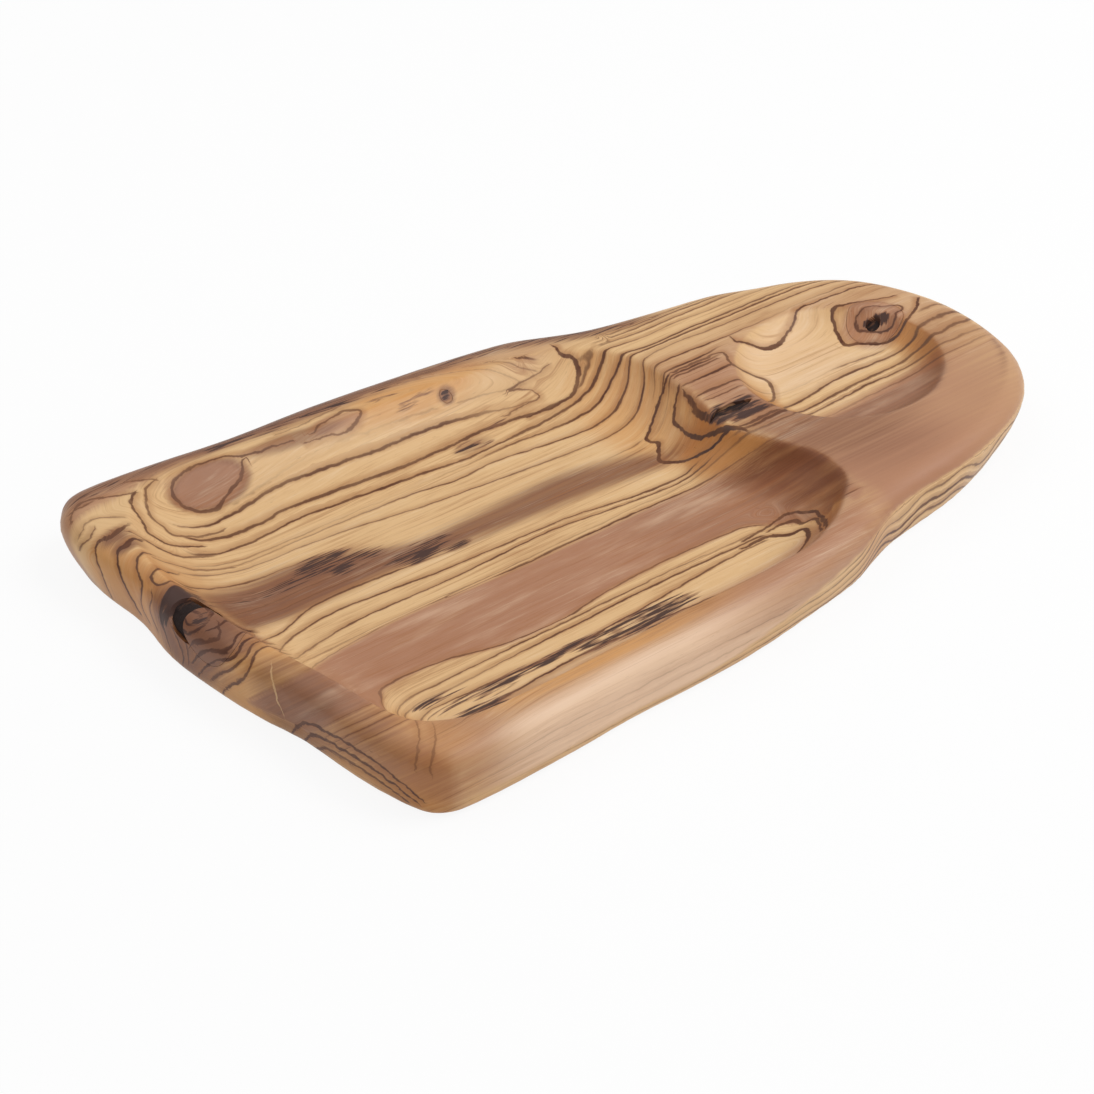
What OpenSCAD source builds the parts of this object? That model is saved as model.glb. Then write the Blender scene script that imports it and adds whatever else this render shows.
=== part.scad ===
// Olive wood serving plate carved from one live-edge plank.
// +X runs along the grain to the narrow end, +Y to the back, +Z up; the origin is under the middle.

/* [Plank] */
// Length along the grain, from the wide end to the narrow end
plank_length = 400; // [370:1:440]
// Width across the grain at the wide end
plank_width = 240; // [220:1:262]
// Thickness of the plank
plank_thick = 26; // [23:0.5:32]
// How far the rounded top edge reaches in from the side
crown_width = 11; // [6:0.5:12]
// How far the rounded top edge drops down the side
crown_drop = 8; // [4:0.5:10]
// Radius along the bottom edge
foot_round = 3; // [2:0.5:5]

/* [Large hollow] */
// Wood left under the large hollow
floor_thick = 9; // [7:0.5:12]
// Rim between the large hollow and the wide end
end_rim = 12; // [10:0.5:18]
// Rim between the large hollow and the front side
front_rim = 14; // [11:0.5:20]
// Rim between the large hollow and the back side
back_rim = 18; // [15:0.5:24]
// Length of the carved slope at the wide end
end_slope = 34; // [26:1:44]
// Length of the carved slope at the front
front_slope = 26; // [20:1:36]
// Length of the carved slope at the back
back_slope = 52; // [36:1:64]
// Length of the carved slope below the web
web_slope = 30; // [22:1:40]
// Radius of the worn lip around both hollows
lip_round = 4; // [2:0.5:6]

/* [Small hollow] */
// Longer size of the small hollow
dish_length = 104; // [90:1:112]
// Shorter size of the small hollow
dish_width = 91; // [80:1:98]
// Turn of the longer size from the grain, in degrees
dish_turn = 35; // [0:1:60]
// Depth of the small hollow
dish_depth = 9; // [6:0.5:12]
// Length of the carved slope around the small hollow
dish_slope = 22; // [16:1:28]
// Distance from the narrow end to the middle of the small hollow
dish_inset = 78; // [70:1:90]
// Distance of the small hollow from the middle line, toward the front
dish_offset = 7; // [0:1:14]
// Web of full thickness between the two hollows, at its narrowest
web_width = 28; // [20:1:36]

/* [Knots and bark] */
// Width of the dead knot in the rim of the wide end
rim_knot_width = 30; // [22:1:36]
// Width of that knot at its root
rim_knot_root = 12; // [8:0.5:16]
// How deep that knot reaches
rim_knot_depth = 17; // [13:0.5:19]
// Lean of that knot out over the wide end, in degrees
rim_knot_lean = 45; // [30:1:60]
// How far the face of that knot lies below the top face
rim_knot_sink = 2; // [0:0.5:5]
// Width of the bark pocket beside that knot
rim_bark_width = 24; // [18:1:28]
// Width of the bark pocket at its root
rim_bark_root = 7; // [4:0.5:10]
// How deep the bark pocket reaches
rim_bark_depth = 13; // [10:0.5:16]
// How far the middle of the bark pocket lies from the middle of that knot
rim_bark_offset = 12; // [9:0.5:15]
// Width of the knot at the edge of the small hollow
dish_knot_width = 28; // [20:1:34]
// Width of that knot at its root
dish_knot_root = 15; // [11:0.5:19]
// Direction of that knot from the middle of the small hollow, in degrees from the grain
dish_knot_turn = 24; // [10:1:40]
// How far the middle of that knot lies inside the lip of the small hollow
dish_knot_inset = 7; // [3:0.5:12]
// Wood left under that knot
dish_knot_floor = 6; // [4:0.5:9]
// Width of the dark pith in that knot
dish_pith_width = 8; // [5:0.5:11]
// Width of the pith at its root
dish_pith_root = 3; // [2:0.5:4]
// Part of that knot left under its pith
dish_pith_floor = 3; // [2:0.5:5]
// Width of the pin knot in the back slope
pin_knot_width = 7; // [5:0.5:11]
// Width of the pin knot at its root
pin_knot_root = 3.5; // [2:0.5:4.5]
// How deep the pin knot reaches below the top face
pin_knot_depth = 12; // [9:0.5:15]
// Distance of the pin knot from the wide end
pin_knot_along = 184; // [150:1:210]
// Distance of the pin knot from the back side
pin_knot_inset = 37; // [33:0.5:41]
// Length of the bark seam across the web
bark_seam_length = 24; // [16:1:28]
// Width of the bark seam across the web
bark_seam_width = 7; // [4:0.5:9]
// Depth of the bark seam
bark_seam_depth = 8; // [5:0.5:11]
// Distance of the middle of the bark seam from the lip of the large hollow
bark_seam_inset = 10; // [7:0.5:13]

/* [Hidden] */
$fn = 96;

// Places that follow from the sizes above
half_length = plank_length / 2;
half_width = plank_width / 2;
crown_start = plank_thick - crown_drop;
dish_x = half_length - dish_inset;
dish_y = -dish_offset;
hollow_end_x = -half_length + end_rim;
hollow_web_x = dish_x - dish_width / 2 - web_width;
hollow_front_y = -half_width + front_rim;
hollow_back_y = half_width - back_rim;

// The rim knot stands on the crest of the rim, near the middle of the wide end
rim_knot_x = -half_length + end_rim / 2;
rim_knot_y = 1;
rim_knot_z = plank_thick - rim_knot_sink;
// How far the rim knot's cone runs on above its face before it is trimmed to the rim
rim_knot_reach = 12;

dish_knot_reach = dish_radius(dish_knot_turn) - dish_knot_inset;
dish_knot_x = dish_x + dish_knot_reach * cos(dish_knot_turn);
dish_knot_y = dish_y + dish_knot_reach * sin(dish_knot_turn);
dish_knot_depth = plank_thick - dish_knot_floor;

pin_knot_x = -half_length + pin_knot_along;
pin_knot_y = half_width - pin_knot_inset;

// The bark seam lies in line with the small hollow, and each of its sides is an arc
bark_seam_x = hollow_web_x + bark_seam_inset;
bark_seam_bow = (pow(bark_seam_length / 2, 2) + pow(bark_seam_width / 2, 2)) / bark_seam_width;

// Steps along each curve
edge_steps = 3;
lip_steps = 4;
dish_sides = 40;
foot_steps = 2;
side_steps = 3;
crown_steps = 4;
slope_steps = 6;
lip_turns = 3;
// Slope at which a hollow's lip breaks through the top face, in degrees
lip_break = 12;
// How soon the undercut of the live edge runs out up the side
undercut_power = 1.6;
// How far a cut reaches past the face that it opens
overcut = 2;

// The live edge, clockwise from the back of the wide end: along and across as shares of the
// half length and half width, then how far the foot is drawn in, in mm
edge_shape = [
    [-0.87, 0.99, 8], [-0.70, 0.98, 6], [-0.53, 0.95, 6], [-0.33, 0.945, 6],
    [-0.13, 0.92, 6], [0.06, 0.885, 6], [0.17, 0.85, 6], [0.25, 0.79, 6],
    [0.33, 0.735, 6], [0.48, 0.685, 6], [0.63, 0.645, 7], [0.73, 0.58, 7],
    [0.82, 0.52, 8], [0.90, 0.43, 8], [0.955, 0.31, 8], [0.99, 0.13, 9],
    [0.995, -0.05, 9], [0.97, -0.25, 9], [0.92, -0.435, 9], [0.83, -0.59, 8],
    [0.70, -0.70, 6], [0.53, -0.775, 4], [0.38, -0.80, 2], [0.29, -0.825, 2],
    [0.215, -0.865, 2], [0.125, -0.915, 2], [-0.05, -0.96, 2], [-0.20, -0.98, 1],
    [-0.37, -0.995, 2], [-0.49, -0.985, 1], [-0.70, -1.0, 1], [-0.87, -1.0, 1],
    [-0.935, -0.97, 1], [-0.965, -0.885, 1], [-0.98, -0.67, 1], [-0.98, -0.42, 1],
    [-0.995, -0.23, 1], [-1.0, 0, 1], [-0.995, 0.21, 1], [-0.972, 0.42, 2],
    [-0.975, 0.65, 4], [-0.965, 0.815, 6], [-0.93, 0.925, 8]
];

// The lip of the large hollow, clockwise from its back corner at the wide end: along as a share
// from the end rim to the web, across as a share from the front rim to the back rim
lip_shape = [
    [0.12, 0.98], [0.20, 1.0], [0.50, 0.96], [0.84, 0.93], [0.98, 0.885],
    [1.04, 0.81], [1.055, 0.70], [1.03, 0.55], [1.0, 0.44], [1.03, 0.325],
    [1.05, 0.24], [1.03, 0.15], [0.975, 0.09], [0.89, 0.035], [0.775, 0.005],
    [0.46, 0], [0.16, 0], [0.06, 0.03], [0.017, 0.10], [0.005, 0.27],
    [-0.01, 0.46], [-0.005, 0.68], [0.02, 0.825], [0.06, 0.92]
];

function mix(a, b, share) = a + (b - a) * share;

function column(points, k) = [for (p = points) p[k]];

// One point of a smooth closed curve through the points p, between p[i] and the next
function curve_point(p, i, t) =
    let (n = len(p), a = p[(i + n - 1) % n], b = p[i], c = p[(i + 1) % n], d = p[(i + 2) % n])
    (2 * b + (c - a) * t + (2 * a - 5 * b + 4 * c - d) * t * t
        + (3 * b - a - 3 * c + d) * t * t * t) / 2;

function closed_curve(p, steps) =
    [for (i = [0:len(p) - 1], k = [0:steps - 1]) curve_point(p, i, k / steps)];

// Direction into a clockwise outline at its point i
function inward(p, i) =
    let (n = len(p), a = p[(i + n - 1) % n], b = p[(i + 1) % n], d = [b.x - a.x, b.y - a.y])
    [d.y, -d.x] / norm(d);

// The live edge at full size, stretched so that it just fills the plank's length and width
edge_curve = closed_curve(edge_shape, edge_steps);
edge_low = [min(column(edge_curve, 0)), min(column(edge_curve, 1))];
edge_high = [max(column(edge_curve, 0)), max(column(edge_curve, 1))];
edge = [for (p = edge_curve) [
    plank_length * ((p.x - edge_low.x) / (edge_high.x - edge_low.x) - 0.5),
    plank_width * ((p.y - edge_low.y) / (edge_high.y - edge_low.y) - 0.5),
    p.z
]];

// Section of the live edge from the foot up: share of the undercut, step in, height
edge_section = concat(
    [for (k = [0:foot_steps]) let (turn = 90 * k / foot_steps)
        [1, foot_round * (1 - sin(turn)), foot_round * (1 - cos(turn))]],
    [for (k = [1:side_steps - 1]) let (rise = k / side_steps)
        [pow(1 - rise, undercut_power), 0, mix(foot_round, crown_start, rise)]],
    [for (k = [0:crown_steps]) let (turn = 90 * k / crown_steps)
        [0, crown_width * (1 - cos(turn)), crown_start + crown_drop * sin(turn)]]
);

edge_rings = [for (s = edge_section) [for (i = [0:len(edge) - 1])
    let (step = (s[0] * edge[i].z + s[1]) * inward(edge, i))
    [edge[i].x + step.x, edge[i].y + step.y, s[2]]]];

// Rings of a carved hollow from its floor up. Between floor and lip the slope is a scooped arc
// that turns over into the worn lip, and both arcs meet at the same angle.
function hollow_point(low, high, floor_z, part) =
    let (run = norm(high - low),
         depth = plank_thick - floor_z,
         steep = 2 * atan(depth / run),
         scoop = run / sin(steep) - lip_round,
         out = (high - low) / run,
         turn = part <= 1 ? steep * part : mix(steep, lip_break, part - 1),
         along = part <= 1 ? scoop * sin(turn) : run - lip_round * sin(turn),
         rise = part <= 1 ? scoop * (1 - cos(turn)) : depth - lip_round * (1 - cos(turn)))
    [low.x + out.x * along, low.y + out.y * along, floor_z + rise];

function hollow_rings(low, high, floor_z) = concat(
    [for (k = [0:slope_steps]) [for (i = [0:len(low) - 1])
        hollow_point(low[i], high[i], floor_z, k / slope_steps)]],
    [for (k = [1:lip_turns]) [for (i = [0:len(low) - 1])
        hollow_point(low[i], high[i], floor_z, 1 + k / lip_turns)]],
    [[for (i = [0:len(low) - 1])
        let (top = hollow_point(low[i], high[i], floor_z, 2),
             out = (high[i] - low[i]) / norm(high[i] - low[i]),
             rise = plank_thick + overcut - top.z,
             step = out * rise / tan(lip_break))
        [top.x + step.x, top.y + step.y, top.z + rise]]]
);

// Outlines of both hollows, at the lip and at the floor
lip_curve = closed_curve(lip_shape, lip_steps);
hollow_lip = [for (p = lip_curve)
    [mix(hollow_end_x, hollow_web_x, p.x), mix(hollow_front_y, hollow_back_y, p.y)]];
hollow_floor = [for (p = lip_curve)
    [mix(hollow_end_x + end_slope, hollow_web_x - web_slope, p.x),
     mix(hollow_front_y + front_slope, hollow_back_y - back_slope, p.y)]];

// Reach of the small hollow's lip from its middle, in the direction turn
function dish_radius(turn) =
    1 / norm([cos(turn - dish_turn) * 2 / dish_length, sin(turn - dish_turn) * 2 / dish_width]);

function dish_outline(step_in) = [for (i = [0:dish_sides - 1])
    let (turn = -360 * i / dish_sides,
         p = [(dish_length / 2 - step_in) * cos(turn), (dish_width / 2 - step_in) * sin(turn)])
    [dish_x + p.x * cos(dish_turn) - p.y * sin(dish_turn),
     dish_y + p.x * sin(dish_turn) + p.y * cos(dish_turn)]];

function middle(ring) = [for (p = ring) 1] * ring / len(ring);

// Closed solid through a stack of clockwise rings, fanned shut at both ends
module loft(rings) {
    n = len(rings[0]);
    m = len(rings);
    points = concat([for (r = rings, p = r) p], [middle(rings[0]), middle(rings[m - 1])]);
    sides = [for (j = [0:m - 2], i = [0:n - 1])
        let (k = (i + 1) % n)
        each [[j * n + i, j * n + k, j * n + n + k], [j * n + i, j * n + n + k, j * n + n + i]]];
    bottom = [for (i = [0:n - 1]) [m * n, (i + 1) % n, i]];
    top = [for (i = [0:n - 1]) [m * n + 1, (m - 1) * n + i, (m - 1) * n + (i + 1) % n]];
    polyhedron(points, concat(sides, bottom, top));
}

module live_edge_blank() {
    loft(edge_rings);
}

module large_hollow_cut() {
    loft(hollow_rings(hollow_floor, hollow_lip, floor_thick));
}

module dish_cut() {
    loft(hollow_rings(dish_outline(dish_slope), dish_outline(0), plank_thick - dish_depth));
}

// A dead knot: a cone with the given width at its face, narrowing to its root below, and going
// on above its face by reach
module knot_cone(width, root, depth, reach) {
    widening = (width - root) / depth;
    translate([0, 0, -depth])
        cylinder(h = depth + reach, d1 = root, d2 = width + widening * reach);
}

module rim_knot_cone() {
    translate([rim_knot_x, rim_knot_y, rim_knot_z])
        rotate([0, -rim_knot_lean, 0])
            knot_cone(rim_knot_width, rim_knot_root, rim_knot_depth, rim_knot_reach);
}

module rim_bark_cone() {
    translate([rim_knot_x, rim_knot_y + rim_bark_offset, rim_knot_z])
        rotate([0, -rim_knot_lean, 0])
            knot_cone(rim_bark_width, rim_bark_root, rim_bark_depth, rim_knot_reach);
}

module dish_knot_cone(reach) {
    translate([dish_knot_x, dish_knot_y, plank_thick])
        knot_cone(dish_knot_width, dish_knot_root, dish_knot_depth, reach);
}

module dish_pith_cone(reach) {
    translate([dish_knot_x, dish_knot_y, plank_thick])
        knot_cone(dish_pith_width, dish_pith_root, dish_knot_depth - dish_pith_floor, reach);
}

module pin_knot_cone(reach) {
    translate([pin_knot_x, pin_knot_y, plank_thick])
        knot_cone(pin_knot_width, pin_knot_root, pin_knot_depth, reach);
}

// The bark seam is a lens in plan, with its points along the grain
module bark_seam_lens(reach) {
    translate([bark_seam_x, dish_y, plank_thick - bark_seam_depth])
        intersection_for (side = [-1, 1])
            translate([0, side * (bark_seam_bow - bark_seam_width / 2), 0])
                cylinder(h = bark_seam_depth + reach, r = bark_seam_bow);
}

module carved_plank() {
    color("burlywood") difference() {
        live_edge_blank();
        large_hollow_cut();
        dish_cut();
        rim_knot_cone();
        rim_bark_cone();
        dish_knot_cone(overcut);
        pin_knot_cone(overcut);
        bark_seam_lens(overcut);
    }
}

module rim_knot() {
    color("peru") difference() {
        intersection() {
            live_edge_blank();
            rim_knot_cone();
        }
        large_hollow_cut();
    }
}

module rim_knot_bark() {
    color("#2b2320") difference() {
        intersection() {
            live_edge_blank();
            rim_bark_cone();
        }
        rim_knot_cone();
        large_hollow_cut();
    }
}

module dish_knot() {
    color("sienna") difference() {
        dish_knot_cone(0);
        dish_cut();
        dish_pith_cone(overcut);
    }
}

module dish_knot_pith() {
    color("#2b2320") difference() {
        dish_pith_cone(0);
        dish_cut();
    }
}

module pin_knot() {
    color("saddlebrown") difference() {
        pin_knot_cone(0);
        large_hollow_cut();
    }
}

module web_bark_seam() {
    color("#2b2320") difference() {
        bark_seam_lens(0);
        large_hollow_cut();
        dish_cut();
    }
}

carved_plank();
rim_knot();
rim_knot_bark();
dish_knot();
dish_knot_pith();
pin_knot();
web_bark_seam();
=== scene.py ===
import math

import bmesh
import bpy
import numpy as np
from bpy.props import FloatProperty, FloatVectorProperty, IntProperty, PointerProperty
from mathutils import Euler, Matrix, Vector, noise


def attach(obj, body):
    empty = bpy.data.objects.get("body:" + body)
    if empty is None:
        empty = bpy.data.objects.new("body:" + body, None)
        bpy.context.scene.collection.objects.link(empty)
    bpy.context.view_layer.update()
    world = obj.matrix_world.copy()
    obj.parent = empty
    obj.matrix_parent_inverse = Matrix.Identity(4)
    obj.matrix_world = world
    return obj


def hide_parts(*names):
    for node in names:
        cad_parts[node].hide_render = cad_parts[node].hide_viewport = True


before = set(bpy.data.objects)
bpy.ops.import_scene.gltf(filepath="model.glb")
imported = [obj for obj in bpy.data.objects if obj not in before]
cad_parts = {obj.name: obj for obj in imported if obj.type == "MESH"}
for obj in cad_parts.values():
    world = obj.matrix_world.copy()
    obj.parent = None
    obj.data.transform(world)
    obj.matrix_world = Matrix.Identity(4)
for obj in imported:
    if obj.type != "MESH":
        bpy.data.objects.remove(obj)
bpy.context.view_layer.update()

bl_info = {
    "name": "Olive wood serving plate",
    "version": (1, 0, 0),
    "blender": (4, 5, 0),
    "location": "View3D > Sidebar > Plate",
    "description": "Carves, sands and oils a live-edge olive wood plate with its knots and bark",
    "category": "Object",
}

MM = 0.001
# Levels of the large hollow's floor and of the top face, in mm
FLOOR_TOP = 9.0
PLANK_TOP = 26
# Where the wide end turns into its rim, and how far the rim runs in from there, in mm
END_X = -197
RIM_RUN = 40
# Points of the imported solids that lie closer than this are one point, in m
MERGE_GAP = 0.004 * MM
# Name of the sanded skin that all pieces are parted from
BLANK = "sanded_blank"
# Edges sharper than this stay sharp, in degrees
SHARP_ANGLE = 50
# Usual size of the lumps and flakes of the bark, in m
LUMP_SIZE = 5 * MM
FLAKE_SIZE = 2.4 * MM
# Least thickness of a layer, in mm
LEAST_LAYER = 0.05
# Number of sets that the marks are drawn in, how far from a mark its field reaches in mm, and how much
# stronger the marks on the wide end are drawn
MARK_SETS = 4
MARK_REACH = 4.0
END_FORCE = 1.15

# Plugs let into the plank, in mm: middle of the face, lean toward the wide end in degrees,
# width at the face, width at the root, depth, and how far the plug runs on above its face
RIM_KNOT = dict(face=(-194, 1, 24), lean=45, width=30, root=12, depth=17, reach=12)
RIM_BARK = dict(face=(-194, 13, 24), lean=45, width=24, root=7, depth=13, reach=12)
DISH_KNOT = dict(face=(162.6, 11.1, 26), lean=0, width=28, root=15, depth=20, reach=4)
DISH_PITH = dict(face=(162.6, 11.1, 26), lean=0, width=8, root=3, depth=17, reach=4)
PIN_KNOT = dict(face=(-16, 83, 26), lean=0, width=7, root=3.5, depth=12, reach=4)
# The bark seam in the web is a lens: its points lie along the grain
WEB_SEAM = dict(face=(58.5, -7, 26), length=24, width=7, depth=8, reach=4)

# Growth lines from the front to the back, in mm: along the grain, across the layers, strength.
# Across is measured where a layer meets the level of the large hollow's floor.
GROWTH_LINES = (
    ((-200, -138, 0.2), (-100, -138, 0.4), (0, -138, 0.8), (200, -138, 0.8)),
    ((-200, -133, 0.3), (-100, -133, 0.6), (0, -133, 0.8), (200, -132, 0.9)),
    ((-200, -129, 0.2), (-100, -129, 0.5), (0, -128, 0.9), (200, -129, 0.6)),
    ((-200, -125, 0.4), (-60, -124, 0.5), (60, -125, 1.0), (200, -125, 0.8)),
    ((-200, -121.5, 0.2), (-60, -121, 0.3), (60, -121, 0.6), (200, -122, 0.9)),
    ((-200, -117, 0.3), (-60, -117, 0.2), (60, -116, 0.9), (200, -117, 0.6)),
    ((-200, -113, 0.2), (-100, -113, 0.2), (0, -112, 0.4), (100, -113, 0.8), (200, -113, 0.6)),
    ((-200, -98, 0.1), (200, -98, 0.1)),
    ((-200, -86, 0.1), (-150, -85, 0.5), (-90, -83, 0.2), (-50, -82, 0.8), (0, -82, 0.2), (60, -82, 0.0)),
    ((-175, -72, 0.5), (-140, -74, 0.9), (-100, -76, 1.0), (-60, -75, 1.0), (0, -70, 0.8), (60, -72, 0.8)),
    ((-170, -66, 0.6), (-140, -68, 0.4), (-100, -66.5, 0.9), (0, -66, 0.9), (60, -68, 0.9)),
    ((-170, -62, 0.5), (-140, -62.5, 0.8), (-60, -62, 0.8), (0, -63, 0.4), (60, -65, 0.7)),
    ((-178, -56, 0.5), (-155, -51, 0.7), (-132, -52, 0.8), (-112, -58, 0.8), (-80, -60, 0.9),
     (-55, -57, 0.7), (30, -58, 0.7), (60, -60, 0.5)),
    ((-180, -44, 0.1), (60, -44, 0.1), (200, -44, 0.1)),
    ((-180, -34, 0.1), (60, -34, 0.1), (200, -34, 0.1)),
    ((-178, -25, 0.4), (-150, -20.5, 0.5), (-60, -21.5, 0.9), (20, -23, 0.9), (45, -25, 0.4), (80, -24, 0.3),
     (160, -23, 0.5), (200, -24, 0.2)),
    ((-180, -20, 0.3), (-150, -18.5, 0.4), (-100, -19.5, 0.5), (0, -19, 0.2), (45, -19, 0.5),
     (80, -19.5, 0.7), (130, -18, 0.9), (165, -19, 0.6), (200, -20, 0.3)),
    ((-175, -16, 0.5), (-140, -10.5, 0.9), (-100, -11, 0.9), (-40, -10.5, 0.9), (0, -15, 0.9),
     (45, -17, 1.0), (75, -17, 1.0), (110, -15.5, 0.9), (170, -15.5, 0.7)),
    ((-180, -9, 0.6), (-150, -1, 0.9), (-100, -3.5, 0.9), (-60, -6, 0.9), (-30, -7.5, 0.9), (0, -12, 0.9),
     (45, -14, 0.8), (75, -14, 0.8), (100, -11, 0.9), (130, -9.5, 0.9), (165, -12, 0.8)),
    ((-180, 0, 0.5), (-165, 1, 0.9), (-150, 6.5, 0.9), (-100, 6.5, 0.8), (-75, 4, 0.3), (0, -2, 0.0),
     (58, -3, 0.3), (75, -2.5, 0.9), (90, -4, 0.2), (130, -4.5, 0.6), (170, -8, 0.6)),
    ((-180, 12, 0.1), (-150, 14, 0.4), (-90, 13, 0.3), (0, 6, 0.2), (58, 6, 0.9), (85, 6, 0.9), (96, 6, 0.0),
     (150, 4, 0.0), (200, 4, 0.2)),
    ((-180, 18, 0.3), (-150, 20, 0.5), (-90, 18, 0.3), (0, 12, 0.2), (58, 14, 0.8), (82, 14, 0.8),
     (92, 14, 0.0), (150, 12, 0.0), (200, 12, 0.4)),
    ((-180, 26, 0.4), (-150, 28, 0.4), (-100, 24, 0.1), (0, 17, 0.1), (58, 18, 0.9), (85, 18, 0.9),
     (94, 19, 0.2), (120, 18, 0.1), (200, 18, 0.2)),
    ((-180, 33, 0.7), (-160, 36.5, 0.8), (-130, 36, 0.5), (-100, 32, 0.0), (0, 24, 0.0), (50, 22, 0.0),
     (62, 24, 0.8), (100, 23.5, 0.8), (150, 24, 0.2), (180, 23, 0.8), (200, 20, 0.8)),
    ((-180, 42, 0.5), (-140, 45.5, 0.6), (-110, 44, 0.6), (-60, 36.5, 0.8), (0, 31, 0.7), (30, 29.5, 0.8),
     (56, 29, 0.9), (66, 32, 0.6), (100, 32, 0.6), (150, 31, 0.8), (200, 26, 0.6)),
    ((-180, 45, 0.4), (-140, 49, 0.4), (-90, 48.5, 0.6), (-60, 46.5, 0.8), (-40, 44, 0.8), (-25, 45, 0.8),
     (0, 41.5, 0.8), (50, 37, 1.0), (64, 37, 1.0), (100, 36.5, 1.0), (160, 35, 0.9), (200, 30, 0.6)),
    ((-180, 48, 0.3), (-140, 51, 0.4), (-110, 51, 0.3), (-60, 50, 0.1), (-5, 49, 0.7), (20, 46.5, 0.9),
     (50, 43, 1.0), (64, 39.5, 0.9), (100, 39, 0.9), (160, 37.5, 0.7), (200, 33, 0.5)),
    ((-180, 52, 0.6), (-160, 55, 0.9), (-120, 59, 1.0), (-60, 54.5, 1.0), (-20, 52, 0.9), (20, 51.5, 0.9),
     (55, 48.5, 1.0), (68, 47, 0.7), (100, 46.5, 0.5), (160, 44, 0.5), (200, 38, 0.4)),
    ((-180, 56, 0.5), (-160, 61.5, 0.9), (-120, 64, 0.9), (-60, 59.5, 0.9), (-10, 58.5, 0.9), (32, 54, 0.9),
     (56, 53, 0.6), (75, 51.5, 0.8), (160, 50, 0.6), (200, 44, 0.4)),
    ((-180, 60, 0.4), (-160, 67, 0.8), (-120, 70.5, 0.9), (-60, 66.5, 0.9), (-20, 65, 0.8), (0, 62, 0.5),
     (30, 57.5, 0.5), (75, 55.5, 0.8), (160, 54, 0.6), (200, 50, 0.4)),
    ((-160, 73, 0.3), (-60, 71.5, 0.1), (0, 67, 0.3), (30, 62, 0.2), (75, 58.5, 0.7), (160, 58, 0.7)),
    ((-160, 82, 0.1), (60, 74, 0.2), (75, 63, 0.7), (160, 62, 0.6)),
    ((-160, 92, 0.4), (60, 84, 0.5), (160, 70, 0.5)),
    ((-160, 99, 0.6), (60, 92, 0.6), (160, 80, 0.6)),
    ((-160, 107, 0.5), (60, 99, 0.5), (160, 90, 0.5)),
    ((-160, 116, 0.6), (60, 108, 0.6), (160, 100, 0.6)),
    ((-160, 130, 0.6), (60, 130, 0.6), (160, 130, 0.6)),
)
# Front side of the plank in plan, which the outer layers follow
FRONT_SIDE = ((-200, -118), (-20, -116), (25, -110), (58, -99), (106, -93), (140, -84), (166, -71),
              (184, -52), (196, -25))
# Back side of the plank in plan, brown along its edge
BACK_SIDE = ((-200, 112), (-168, 119), (-140, 118), (-84, 114), (-14, 110), (28, 104), (56, 92), (98, 82))
# Crest that the layers of the back slope close round
BACK_CREST = ((-200, 79), (-130, 83), (-60, 81), (-15, 77), (10, 70), (32, 62), (58, 66), (75, 110))
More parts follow.
